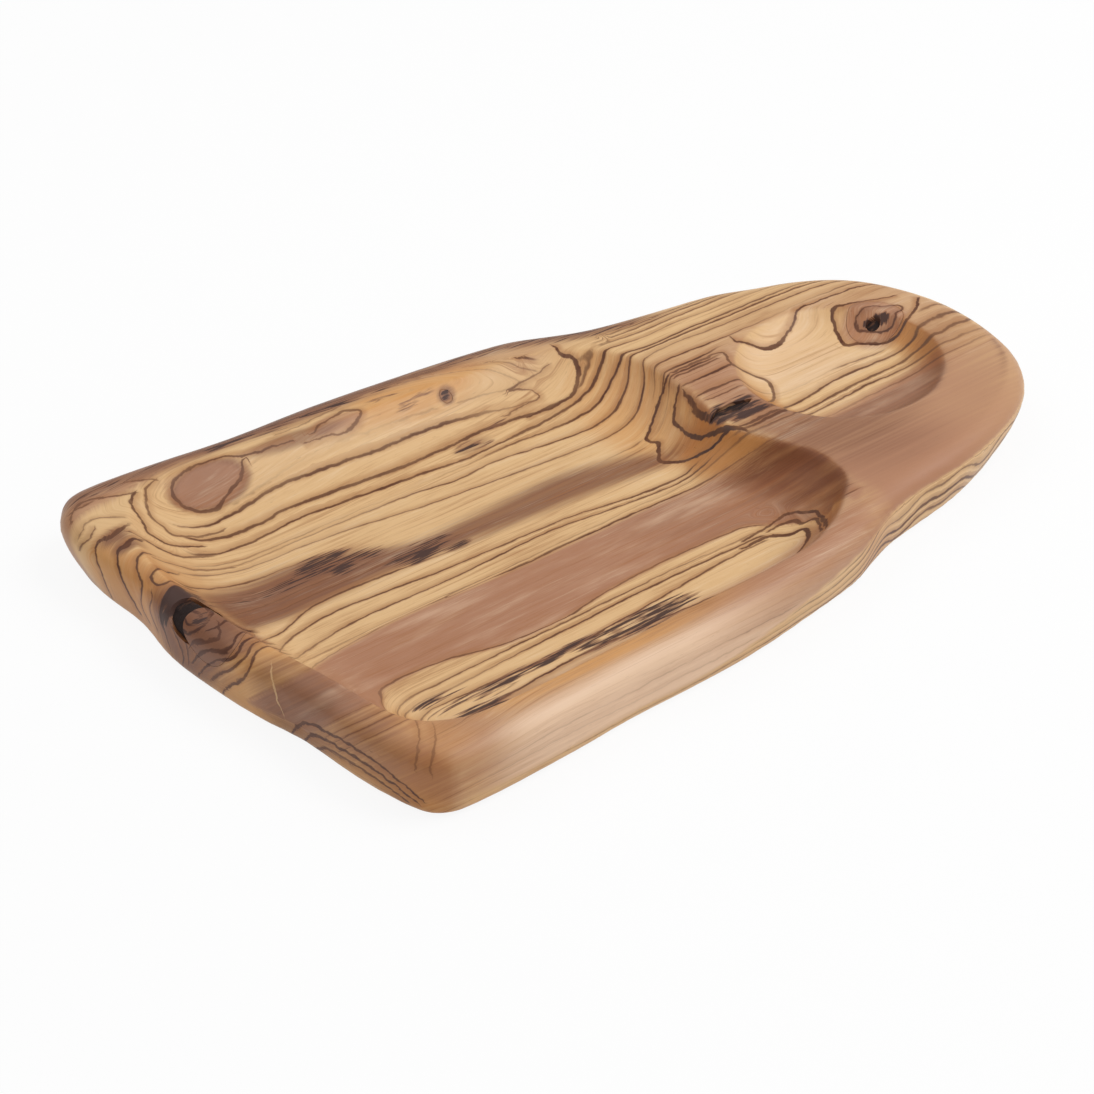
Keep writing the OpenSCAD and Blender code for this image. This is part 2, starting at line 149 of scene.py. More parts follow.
# Marks drawn where the figure closes round knots and bumps, seen from above: the lowest and highest
# level at which it shows, strength, then points along, across and half the width of the line there
MARKS = (
    # Island in the back slope
    (12, 40, 0.8, ((-112, 94, 0.5), (-115, 90, 0.8), (-121, 87, 1.0), (-127, 85, 0.6), (-132, 82, 1.1),
                   (-138, 82, 0.9), (-144, 86, 1.0), (-146, 92, 1.0), (-144, 97, 0.8), (-137, 99.5, 0.5),
                   (-126, 99.5, 0.6), (-116, 97.5, 0.5), (-108, 95, 0.4), (-98, 93.5, 0.3),
                   (-88, 92, 0.2))),
    # Rings round the island that run on down the slope as growth lines
    (12, 40, 0.7, ((-148, 101, 0.4), (-154, 99, 0.6), (-158, 94, 0.6), (-161, 88, 0.7), (-162, 85, 0.8),
                   (-160.5, 80, 0.6), (-160, 76, 0.7), (-154, 73.5, 0.7), (-146, 72, 0.7),
                   (-138, 72, 0.8))),
    (12, 40, 0.9, ((-160, 98, 0.6), (-165, 93, 0.7), (-167, 88, 0.6), (-168, 82, 0.7), (-170, 77, 0.8),
                   (-168, 73, 0.8), (-165.5, 70, 0.7), (-160, 68, 0.7), (-152, 66.5, 0.6))),
    (12, 40, 0.8, ((-179, 76, 0.4), (-174, 70, 0.5), (-170, 66, 0.6), (-166, 62.5, 0.8), (-160, 61, 0.7),
                   (-150, 60, 0.7))),
    (10, 40, 0.6, ((-180, 58, 0.3), (-173, 56, 0.5), (-166, 53, 0.7), (-158, 51, 0.7), (-150, 50, 0.6))),
    # Arcs on the back corner of the wide end
    (20, 40, 0.7, ((-190, 98, 0.4), (-186, 103, 0.6), (-180, 105.5, 0.7), (-174, 104, 0.8), (-168, 101, 0.8),
                   (-160, 98, 0.6))),
    (20, 40, 0.5, ((-192, 89, 0.3), (-188, 92, 0.5), (-183, 91.5, 0.6), (-178, 88.5, 0.6),
                   (-174.5, 85, 0.4))),
    (20, 40, 0.6, ((-160, 107, 0.4), (-154, 104.5, 0.6), (-148, 101, 0.5))),
    # Pink oval and the thin line over it
    (12, 40, 0.7, ((-80, 91, 0.2), (-74, 92.5, 0.5), (-66, 94.5, 0.6), (-60, 96, 0.8), (-57, 94, 1.2),
                   (-54, 91.5, 0.9), (-58, 88.5, 0.6), (-66, 87, 0.5), (-74, 88.5, 0.4), (-84, 90, 0.2))),
    (12, 40, 0.5, ((-92, 98, 0.2), (-80, 97.5, 0.4), (-70, 98.5, 0.4), (-58, 100, 0.2))),
    # Pale leaf at the far end of the back slope
    (12, 40, 0.7, ((34, 75.5, 0.2), (22, 75, 0.5), (11, 75, 0.6), (17, 72.5, 0.6), (20, 70, 0.5),
                   (20, 66, 0.4), (13, 66.5, 0.4), (0, 66, 0.3))),
    (12, 40, 1.0, ((42, 82, 0.6), (41, 76, 0.9), (44, 72, 1.1), (43, 67, 1.2), (39, 63, 1.0),
                   (32, 59.5, 0.8), (20, 60, 0.6), (8, 61, 0.4))),
    # Loops on the wall below the bark seam
    (8, 26.5, 1.0, ((60, 31, 0.6), (50, 27, 0.8), (42, 22, 0.8), (35, 17, 1.0), (36, 12, 1.1), (32, 7, 1.0),
                    (28, 2, 1.4), (31, -4, 1.0), (36, -10, 0.9), (41, -15.5, 0.9), (47, -18, 1.2))),
    (8, 26.5, 1.0, ((57, 22, 0.6), (50, 17, 0.8), (46, 12, 0.8), (44, 5, 0.8), (43, -1, 0.9), (43, -8, 1.0),
                    (45, -14, 1.2), (48, -19, 1.6), (50, -24, 1.0))),
    (8, 26.5, 0.9, ((56, 18, 0.5), (53, 10, 0.8), (50, 2, 1.0), (48, -6, 1.5), (48, -13, 1.8))),
    # Step-shaped border of the stripes in the web
    (8, 40, 0.8, ((62, 31, 0.5), (75, 31, 0.8), (90, 30.5, 0.7), (88.5, 25.5, 0.7), (86, 20, 0.7),
                  (90, 17.5, 0.9), (97, 12, 1.2), (95.5, 6, 1.1), (91, 0, 0.9), (86, -4, 0.7),
                  (80, -7.5, 0.4))),
    # Straight stripes in the web
    (20, 40, 0.8, ((60, 27.5, 0.5), (72, 27.5, 0.8), (85, 27.5, 0.5))),
    (20, 40, 0.7, ((58, 20, 0.5), (68, 20, 0.7), (80, 20, 0.4))),
    (20, 40, 0.9, ((56, 9.5, 0.8), (65, 9.5, 1.3), (74, 9.5, 0.7))),
    (20, 40, 0.7, ((56, 4, 0.5), (64, 4, 0.7), (76, 4, 0.3))),
    (20, 40, 0.9, ((52, -15, 0.8), (62, -15, 1.0), (72, -14.5, 0.6))),
    (20, 40, 0.9, ((50, -20.5, 0.9), (62, -20.5, 1.3), (72, -20.5, 0.8))),
    # Bow in the small hollow, running on to the narrow end
    (8, 40, 1.0, ((103, 37.5, 0.5), (102, 33, 0.7), (109, 31.5, 0.8), (115, 29, 1.3), (121, 28, 1.5),
                  (127, 30, 1.1), (134, 32.5, 0.7), (140, 35, 0.7), (143, 37, 0.7), (152, 36.5, 0.5),
                  (164, 36, 0.6), (176, 35, 0.6), (188, 31, 0.4))),
    # Dish knot, its diamond, inner ring and the lines that leave it
    (-5, 40, 1.0, ((184, 18, 0.3), (174, 21, 0.5), (164, 25, 0.7), (155, 28, 1.0), (150, 20, 1.1),
                   (146.5, 12, 1.4), (151, 9, 1.2), (155, 4, 1.1), (160, -1, 1.1), (167, -2, 0.9),
                   (175, 0, 0.7), (183, 4, 0.8), (190, 10, 0.6))),
    (-5, 40, 0.9, ((160, 18, 0.6), (157.5, 14, 0.8), (160.5, 9, 0.9), (164, 4, 0.8), (168, 3.5, 0.6),
                   (172, 6, 0.6), (177, 7, 0.7), (178, 11, 0.6), (172, 15, 0.4), (166, 19, 0.4),
                   (161, 19, 0.6))),
    # Loops that end the pale front field
    (8, 24, 0.9, ((8, -64, 0.5), (20, -63.5, 0.7), (28, -62.5, 0.8), (34, -62.5, 1.0), (37, -68, 1.2),
                  (38, -74, 1.0), (35, -80, 1.0), (29, -88, 0.9), (20, -97, 0.7), (12, -101, 0.5))),
    (8, 24, 1.0, ((4, -68, 0.6), (16, -68, 0.9), (20, -71, 1.3), (23, -75, 1.6), (27, -78, 1.3),
                  (25, -83, 1.1), (18, -89, 0.9), (9, -93, 0.5))),
    (8, 24, 0.9, ((20, -66, 0.4), (27, -66, 0.9), (32, -69, 1.2), (30.5, -74, 1.0), (34, -77, 0.9),
                  (31, -83, 0.7), (23, -92, 0.5))),
)
# Marks on the wide end and over its rim: strength, below zero for a pale crack, then points across,
# up and half the width of the line there
END_MARKS = (
    # Pale corner with dark smears
    (0.6, ((104, 50, 0.4), (103, 42, 0.7), (104, 34, 0.5))),
    (0.6, ((87, 36, 0.4), (84, 30, 0.5), (86, 22, 0.3))),
    (0.8, ((81, 49, 0.4), (79, 43, 1.2), (77, 37, 1.8), (79, 30, 0.9), (76, 24, 0.7), (72, 17, 0.7),
           (71, 9, 0.5))),
    (0.9, ((71, 46, 0.4), (70, 41, 1.0), (68, 37, 1.9), (68, 32, 0.9), (64, 27, 0.7), (60, 22, 0.7),
           (55, 16, 0.7), (49, 11, 0.5))),
    (0.8, ((60, 40, 0.3), (57, 34, 0.6), (52, 29, 0.7), (47, 26, 0.7), (45, 21, 0.7), (46, 15, 0.5),
           (41, 10, 0.4))),
    (0.8, ((50, 40, 0.3), (47, 36, 0.6), (45, 31, 0.7), (40, 29, 0.7), (37, 32, 0.7), (36, 36, 0.4))),
    (0.7, ((40, 25, 0.4), (37, 21, 0.6), (38, 15, 0.6), (33, 9, 0.4))),
    (0.7, ((30, 15, 0.5), (26, 12, 0.7), (24, 6, 0.5))),
    # Swirl of the rim knot
    (1.0, ((22, 33, 0.6), (20, 28, 1.0), (17, 32, 0.9), (12, 33, 1.0), (7, 29, 1.2), (6, 24, 1.0),
           (10, 20, 0.9), (16, 19, 0.8), (20, 22, 0.9), (22, 26, 0.6))),
    (0.9, ((17, 25, 0.6), (15, 28, 0.8), (11, 28, 0.9), (9, 25, 0.8), (12, 22, 0.7), (15, 23, 0.5))),
    (1.0, ((24, 40, 0.5), (16, 41, 1.0), (8, 39, 1.3), (2, 35, 1.0), (0, 29, 0.8), (2, 24, 0.6))),
    (0.9, ((33, 34, 0.6), (31, 27, 1.2), (30, 20, 1.2), (27, 14, 0.9), (25, 9, 0.5))),
    (0.8, ((21, 18, 0.5), (17, 14, 0.8), (15, 9, 0.8), (17, 3, 0.5))),
    (0.8, ((13, 17, 0.5), (11, 12, 0.8), (12, 6, 0.6))),
    # Bends right of the knot and the fan below them
    (0.8, ((3, 31, 0.3), (-2, 28, 0.6), (-5, 24, 0.7), (-1, 21, 0.8), (6, 18, 0.8), (10, 14, 0.5))),
    (0.9, ((-9, 36, 0.4), (-10, 30, 0.7), (-12, 25, 0.8), (-10, 21.5, 0.8), (-2, 18, 0.8), (5, 13, 0.8),
           (9, 8, 0.5))),
    (0.9, ((-14, 36, 0.4), (-14, 30, 0.8), (-16, 25, 0.8), (-14, 21, 0.8), (-6, 16, 0.7), (1, 10, 0.7),
           (6, 4, 0.5))),
    (0.8, ((-18, 36, 0.4), (-18, 30, 0.7), (-20, 24, 0.7), (-16, 18, 0.7), (-8, 12, 0.7), (-2, 6, 0.6))),
    (0.8, ((-22, 36, 0.4), (-22, 28, 0.6), (-24, 21, 0.6), (-20, 15, 0.7), (-13, 9, 0.7), (-8, 3, 0.5))),
    (-0.6, ((-31, 28, 0.2), (-34, 24, 0.5), (-37, 19, 0.6), (-39, 14, 0.5), (-41, 10, 0.2))),
    # Stripes along the foot
    (0.9, ((-44, 4, 0.5), (-48, 9, 0.8), (-55, 13.5, 0.8), (-64, 15, 0.8), (-78, 16.5, 0.7), (-94, 16, 0.6),
           (-110, 13, 0.4))),
    (0.9, ((-50, 4, 0.5), (-55, 9, 0.7), (-64, 11.5, 0.7), (-78, 12.5, 0.8), (-94, 12.5, 0.6),
           (-108, 10.5, 0.4))),
    (0.8, ((-57, 4.5, 0.5), (-64, 8, 0.7), (-76, 9, 0.7), (-90, 9.5, 0.6), (-104, 8.5, 0.4))),
    (0.4, ((-92, 44, 0.2), (-100, 40, 0.4), (-106, 32, 0.5), (-108, 24, 0.4))),
    (0.4, ((-98, 47, 0.2), (-105, 43, 0.4), (-111, 35, 0.5), (-113, 26, 0.4))),
)
# Where the plain layers give way to marks: middle along and across, half sizes, turn, lowest and
# highest level
CLEARINGS = (
    (-130, 91, 19, 10, 0, 12, 40), (-66, 92, 14, 6.5, -4, 12, 40), (-16, 84, 8, 5, 15, 12, 40),
    (116, 18, 28, 19, 0, 8, 25.4), (165, 11, 20, 16, 0, -5, 40), (48, 3, 19, 25, 0, 8, 26.5),
    (28, -78, 14, 17, 0, 8, 24), (-198, 36, 15, 100, 0, -5, 40), (30, 68, 13, 8, 0, 12, 40),
    (52, -58, 12, 14, 0, 8, 26), (49, -82, 12, 13, 0, 8, 25.4), (-178, 84, 23, 34, 0, 12, 40),
    (-142, 90, 22, 12, 0, 12, 40), (46, 80, 16, 10, 0, 12, 40),
)
# Edges of the smoke-brown band and of the pink heartwood: along, across
SMOKE_TOP = ((-178, 33), (-160, 37), (-122, 36), (-105, 29), (-92, 22), (-60, 21), (0, 20), (25, 12),
             (42, 3))
SMOKE_FOOT = ((-178, 8), (-150, 8), (-100, 8), (-70, 5), (0, 0), (42, -4))
HEART_BACK = ((-178, -25), (-150, -20.5), (-60, -21.5), (20, -23), (45, -25))
HEART_FRONT = ((-178, -56), (-155, -51), (-132, -52), (-112, -58), (-80, -60), (-55, -57), (30, -58),
               (60, -60))
# Levels at which a stain sets in and is full, in mm
ANYWHERE = (-2, -1)
UPPER_SIDE = (12, 14)
NEAR_TOP = (21, 24)
TOP_FACE = (24.6, 25.6)
BELOW_TOP = (26, 24)
DISH_SLOPE = (25.6, 23)
DISH_FLOOR = (25, 22)
# Island in the back slope: middle along and across, half sizes
ISLAND = (-130, 91, 17, 8.5)
# Stained spots seen from above: stain, strength, middle along and across, half sizes, turn, softness of
# the edge, power of the outline (2 for an oval, more for a rounded box), levels
STAIN_SPOTS = (
    # Island, pink oval, dish knot, web stripes, slope of the small hollow, near corner
    ("heart", 0.95, *ISLAND, 0, 0.2, 2, UPPER_SIDE),
    ("heart", 0.70, -66, 91.5, 12, 4.5, -4, 0.5, 2, UPPER_SIDE),
    ("heart", 0.85, 163, 11, 14, 14, 0, 0.5, 2, ANYWHERE),
    ("heart", 0.45, 68, 3, 19, 28, 0, 0.2, 6, NEAR_TOP),
    ("heart", 0.80, 128, -38, 34, 13, 12, 0.7, 2, DISH_SLOPE),
    ("heart", 0.50, -180, -105, 24, 18, 0, 0.8, 2, UPPER_SIDE),
    # Streak beside the pink oval, ground of the pin knot
    ("smoke", 0.70, -88, 93, 22, 3, -6, 0.9, 2, UPPER_SIDE),
    ("smoke", 0.75, -15.5, 83.5, 4.6, 3.4, 20, 0.5, 2, UPPER_SIDE),
    # Wood round the bark seam, eye of the pin knot, heart of the dish knot
    ("char", 0.85, 60, -9, 13, 7.5, 0, 0.35, 5, NEAR_TOP),
    ("char", 0.75, -16, 83.5, 2.6, 1.5, 20, 0.9, 2, UPPER_SIDE),
    ("char", 1.30, 165, 10.5, 5.5, 2.6, -35, 0.7, 2, ANYWHERE),
    # Round the pin knot, along the front rim, wall below the web
    ("amber", 0.80, -25, 92, 34, 12, 0, 0.7, 2, UPPER_SIDE),
    ("amber", 0.75, -100, -104, 75, 7, 0, 0.9, 2, UPPER_SIDE),
    ("amber", 0.50, 46, 25, 24, 45, 0, 0.6, 2, BELOW_TOP),
    # Pale floor of the small hollow
    ("blush", 0.30, 118, 15, 28, 22, 0, 0.8, 2, DISH_FLOOR),
)
# Stained spots on the wide end: stain, strength, middle across and up, half sizes, softness of the edge
END_SPOTS = (
    ("heart", 0.70, -4, 27, 14, 10, 0.5), ("heart", 0.60, -92, 27, 36, 14, 0.7),
    ("smoke", 0.55, -6, 28, 15, 10, 0.7), ("smoke", 0.40, -68, 26, 30, 16, 0.8),
    ("smoke", 0.62, -48, 20, 22, 22, 0.7), ("smoke", 0.95, 12, 22, 25, 22, 0.6),
    ("smoke", 0.90, 76, 40, 5, 10, 0.9), ("smoke", 0.90, 68, 37, 4, 7, 0.9),
    ("char", 1.10, 27, 26, 6, 11, 0.7), ("char", 0.60, 9, 28, 4, 5, 0.8),
)
# Streaks along the layers: stain, strength, middle along and across, half sizes; their ends are soft
STREAK_SOFT = 0.9
STREAKS = (
    ("char", 0.60, -152, 28, 18, 2.5), ("char", 0.80, -122, 32, 13, 5), ("char", 0.70, -128, 26.5, 28, 2.2),
    ("char", 0.80, -112, 23, 12, 4), ("char", 0.85, -88, 12.5, 15, 5.5), ("char", 0.60, -76, 7, 7, 3),
    ("char", 0.70, -110, -76, 50, 2.2), ("char", 0.85, -62, -80, 26, 5.5), ("char", 0.80, -143, -84, 13, 3.2),
    ("char", 0.80, -130, -77, 12, 3), ("char", 0.70, -150, -69, 12, 2), ("char", 0.30, -30, 75, 10, 2),
    ("char", 0.50, -40, 81, 9, 1.6), ("char", 0.50, -24, 57.5, 7, 1.6), ("char", 0.45, -18, 55.5, 6, 1.2),
    ("char", 0.40, -5, 60, 6, 1.0), ("smoke", 0.50, -22, 57, 9, 2.5),
)

# Noises of the figure: stretch along the grain, across the layers and up, for each mm, then detail
GRAIN = dict(
    broad=((0.010, 0.14, 0.02), 2), streak=((0.014, 0.60, 0.03), 3), fibre=((0.08, 2.4, 0.3), 3),
    sway=((0.03, 0.05, 0.04), 2), shiver=((0.17, 0.3, 0.2), 3), fatter=((0.035, 0.3, 0.05), 2),
    worn=((0.05, 0.4, 0.1), 2), cloud=((0.022, 0.11, 0.03), 4), hair=((0.012, 1.1, 0.05), 2),
    flame=((0.06, 1.0, 0.1), 4), pores=((0.25, 3.4, 0.8), 1),
)
# Noises that don't follow the grain: stretch along, across and up, for each m, then detail
MOTTLE = ((22, 34, 34), 3)
WOBBLE = ((260, 260, 260), 3)
BARK_FLAKES = ((120, 420, 300), 4)
BARK_GRIT = ((900, 1600, 1200), 3)
FLOOR_GRAIN = ((30, 30, 30), 1)

# Colours that the figure asks for, and which of the finish's colours the plank and the knots give it
COLOURS = ("Honey", "Amber", "Blush", "Tan", "Heart", "Smoke", "Fringe", "Line", "Char", "End Grain")
PLANK_COLOURS = ("honey", "amber", "blush", "tan", "heart", "smoke", "fringe", "line", "char", "end_grain")
KNOT_COLOURS = ("amber", "amber", "tan", "heart", "heart", "smoke", "smoke", "line", "char", "end_grain")
# Colour of the palest fibres, the same in all wood
PALE_FIBRE = (0.93, 0.74, 0.52)

# Camera at the photograph's viewing angle: lens and sensor in mm, place in m, tilt and turn in degrees
CAMERA = dict(lens=98.72, sensor=36, place=(-0.71101, -0.75053, 0.60172), tilt=59, turn=-42)
# Light of the world on the plate, as a share of the white that the camera sees behind it
WORLD_LIGHT = 0.45
# Floor: half its size and its drop below the plate in m, its greys, and how white the camera sees it
FLOOR_HALF = 6
FLOOR_DROP = 0.2 * MM
FLOOR_GREYS = ((0.90, 0.90, 0.90), (0.92, 0.92, 0.92))
FLOOR_WHITE = 0.9
# Lamps: name, place in m, size in m, power in W
LAMPS = (
    ("key", (0.9, -0.7, 1.5), 1.2, 20),
    ("fill", (-0.4, 0.9, 1.5), 1.4, 6),
)


def paint(red, green, blue):
    """A colour in linear light, from its value on a screen."""
    return tuple(((c / 255 + 0.055) / 1.055) ** 2.4 for c in (red, green, blue))


def colour_property(name, description, default):
    """A colour that a user can change."""
    return FloatVectorProperty(
        name=name, description=description, subtype="COLOR", size=3, min=0, max=1, default=default)


class PlateShape(bpy.types.PropertyGroup):
    grid: FloatProperty(
        name="Grid", description="Size of the faces of the carved surface",
        default=1.5 * MM, min=1.4 * MM, max=4 * MM, unit="LENGTH")
    sanding: IntProperty(
        name="Sanding", description="How often the carved surface is rubbed down",
        default=3, min=0, max=60)
    relief: FloatProperty(
        name="Relief", description="Depth of the soft waves that carving leaves",
        default=0.25 * MM, min=0, max=1 * MM, unit="LENGTH")
    relief_width: FloatProperty(
        name="Relief width", description="Usual width of one of those waves",
        default=34 * MM, min=5 * MM, max=200 * MM, unit="LENGTH")
    seam_gap: FloatProperty(
        name="Seam", description="Crack between a dead knot and the wood round it",
        default=0.16 * MM, min=0, max=0.5 * MM, unit="LENGTH")
    bark_sink: FloatProperty(
        name="Bark sink", description="How far the bark has sunk below the wood",
        default=1.3 * MM, min=0, max=3 * MM, unit="LENGTH")


class PlateFinish(bpy.types.PropertyGroup):
    honey: colour_property("Honey", "Pale sapwood", paint(225, 185, 134))
    amber: colour_property("Amber", "Warm sapwood along the back rim", paint(212, 154, 92))
    # Blush is pale pink wood, and on the front rim also a painted highlight where the rim faces the front
    blush: colour_property("Blush", "Pale pink wood of the front rim", paint(238, 203, 171))
    tan: colour_property("Tan", "Plain wood of the web and the narrow end", paint(186, 138, 104))
    heart: colour_property("Heart", "Pink-brown heartwood", paint(176, 126, 96))
    smoke: colour_property("Smoke", "Smoke-brown band through the large hollow", paint(132, 87, 62))
    fringe: colour_property("Fringe", "Brown beside the growth lines", paint(160, 102, 56))
    line: colour_property("Growth line", "Dark lines between the layers", paint(88, 46, 24))
    char: colour_property("Char", "Blackened streaks", paint(62, 40, 36))
    bark: colour_property("Bark", "Bark in the pockets", paint(46, 36, 34))
    end_grain: colour_property("End grain", "What oil makes of wood cut across", (0.70, 0.48, 0.27))
    roughness: FloatProperty(
        name="Roughness", description="Roughness of the oiled wood",
        default=0.42, min=0, max=1, subtype="FACTOR")


def ease(start, end, value):
    """0 before the start, 1 past the end, with a soft run between them."""
    share = np.clip((value - start) / (end - start), 0.0, 1.0)
    return share * share * (3.0 - 2.0 * share)


def run_through(x, points):
    """Smooth run through (x, value) points, level beyond the first and the last."""
    xs, vs = np.array(points, float).T
    i = np.clip(np.searchsorted(xs, x, side="right") - 1, 0, len(xs) - 2)
    step = xs[i + 1] - xs[i]
    t = np.clip((x - xs[i]) / step, 0.0, 1.0)
    slope = np.gradient(vs, xs)
    return ((2 * t ** 3 - 3 * t ** 2 + 1) * vs[i] + (t ** 3 - 2 * t ** 2 + t) * step * slope[i]
            + (3 * t ** 2 - 2 * t ** 3) * vs[i + 1] + (t ** 3 - t ** 2) * step * slope[i + 1])


def oval(x, y, middle_x, middle_y, half_x, half_y, turn=0.0, power=2.0):
    """1 on an oval, less inside; a high power makes it a rounded box."""
    c, s = math.cos(math.radians(turn)), math.sin(math.radians(turn))
    dx, dy = x - middle_x, y - middle_y
    along, across = np.abs(dx * c + dy * s) / half_x, np.abs(dy * c - dx * s) / half_y
    return (along ** power + across ** power) ** (1 / power)


def spot(x, y, middle_x, middle_y, half_x, half_y, turn=0.0, soft=0.5, power=2.0):
    """1 inside an oval with a soft edge."""
    return ease(1 + soft / 2, 1 - soft / 2, oval(x, y, middle_x, middle_y, half_x, half_y, turn, power))


def lean_of_layers(x, y):
    """How far a layer leans back for each mm that it rises."""
    near = ease(-130, -178, x)
    back = (1.55 - 0.65 * ease(-150, 60, x) - 0.45 * near) * (1 - 0.42 * ease(55, 105, y))
    front = 0.9 + 0.3 * near
    side = np.tanh((y - (-12 + 40 * near)) / 24)
    return np.where(side > 0, back, front) * side


def across_layers(x, y, z):
    """Where points lie across the layers, as fields by name."""
    height = z - FLOOR_TOP
    flat = y - lean_of_layers(x, y) * height
    to_end = np.where(y < 10, x + 199, 99)
    to_side = np.minimum(y - run_through(x, FRONT_SIDE), to_end)
    waist = ease(0, 70, x)

    # The lowest layers follow the front side and are wavy past the waist
    stripes_top = 8 + 12 * ease(-70, 50, x) + 2 * waist + 2 * ease(150, 185, x)
    outer = ease(15, 6 + 2 * waist, to_side) * ease(stripes_top, stripes_top - 4, z)
    wave = ease(-20, 50, x) * (1.4 * np.sin(x / 8.5) + 0.9 * np.sin(x / 4.7 + 1))
    round_side = -118 - 9 * waist + (1 - 0.4 * waist) * to_side + (1.5 - 0.7 * waist) * height + wave
    u = flat + (round_side - flat) * outer

    # The layers of the back slope close round its crest
    crest = run_through(x, BACK_CREST)
    ends = 0.030 * np.maximum(0, -146 - x) ** 2 + 0.030 * np.maximum(0, x - 28) ** 2 * ease(66, 60, x)
    fold = crest - np.sqrt((u - crest) ** 2 + 2.0) - ends
    upper = ease(54, 66, u) * ease(75, 60, x)
    high = ease(crest + 8, crest + 14, u)
    u = u + (fold - u) * upper * (1 - high)

    # The layers of the pale front field close at its foot
    low = ease(-50, -56, u) * ease(48, 36, x) * ease(9, 15, to_side) * (1 - outer) * ease(24, 18, z)
    foot = -79.0
    ends = 0.035 * np.maximum(0, x - 12) ** 2 + 0.012 * np.maximum(0, -150 - x) ** 2
    fold = foot + np.sqrt((u - foot) ** 2 + 1.0) + ends
    u = u + (fold - u) * low

    # Where layers turn from one way into another their lines fade
    turned = ease(0.02, 0.15, outer) * ease(0.99, 0.85, outer)
    turned = np.maximum(turned, 1 - (1 - 4 * high * (1 - high) * upper) ** 2)
    turned = np.maximum(turned, ease(44, 54, x) * ease(-27, -31, flat) * (1 - outer))
    plain = np.maximum(ease(28, 38, x) * ease(-34, -42, flat) * (1 - outer),
                       ease(18, 32, x) * ease(54, 62, flat))
    return dict(u=u, fibre=u + (flat - u) * plain, flat=flat, outer=outer, crest=crest,
                turned=turned, to_side=to_side)


def count_layers(x, u):
    """Layer number at (x, u), the strength of the nearest line and the thickness of a layer there."""
    where = np.array([run_through(x, [p[:2] for p in line]) for line in GROWTH_LINES])
    force = np.array([run_through(x, [p[::2] for p in line]) for line in GROWTH_LINES])
    where = np.maximum.accumulate(where, axis=0) + np.arange(len(where))[:, None] * LEAST_LAYER
    gap = np.diff(where, axis=0)
    rise = np.empty_like(where)
    rise[1:-1] = np.minimum(2.5 / np.maximum(gap[:-1], gap[1:]), 1 / np.minimum(gap[:-1], gap[1:]))
    rise[0], rise[-1] = 1 / gap[0], 1 / gap[-1]
    i = np.clip((where <= u).sum(0) - 1, 0, len(where) - 2)
    k = np.arange(len(x))
    here = gap[i, k]
    t = np.clip((u - where[i, k]) / here, 0, 1)
    start, end = rise[i, k] * here, rise[i + 1, k] * here
    layer = (i + 3 * t ** 2 - 2 * t ** 3 + start * (t ** 3 - 2 * t ** 2 + t) + end * (t ** 3 - t ** 2))
    steep = 6 * t - 6 * t ** 2 + start * (3 * t ** 2 - 4 * t + 1) + end * (3 * t ** 2 - 2 * t)
    return layer, force[i, k] * (1 - t) + force[i + 1, k] * t, here / np.maximum(steep, 0.1)


def between(low, high, z):
    """1 between two levels, fading below the lower one and just under the upper one."""
    return ease(low - 2, low, z) * ease(high, high - 0.8, z)


def smooth_path(points, steps=5):
    """Points of a mark with more of them on a smooth curve between."""
    knots = np.array(points, float)
    share = np.arange((len(knots) - 1) * steps + 1) / steps
    return np.stack([run_through(share, list(enumerate(column))) for column in knots.T], axis=1)


def up_the_end(x, z):
    """Way up the wide end and on over its rim."""
    return z + np.clip(x - END_X, 0, RIM_RUN)


def sort_marks():
    """Number of the set that each mark goes to: the one whose marks lie farthest from it.

    The wide end is laid out flat beside the top, so that both kinds of marks can be compared.
    """
    plans = [np.array([p[:2] for p in smooth_path(mark[-1])]) for mark in MARKS]
    end_shift = END_X - PLANK_TOP
    plans += [np.array([(p[1] + end_shift, p[0]) for p in smooth_path(mark[-1])]) for mark in END_MARKS]
    chosen = []
    for plan in plans:
        room = np.full(MARK_SETS, 999.0)
        for other, number in zip(plans, chosen):
            gap = np.hypot(*(plan[:, None] - other[None]).transpose(2, 0, 1)).min()
            room[number] = min(room[number], gap)
        chosen.append(int(room.argmax()))
    return chosen


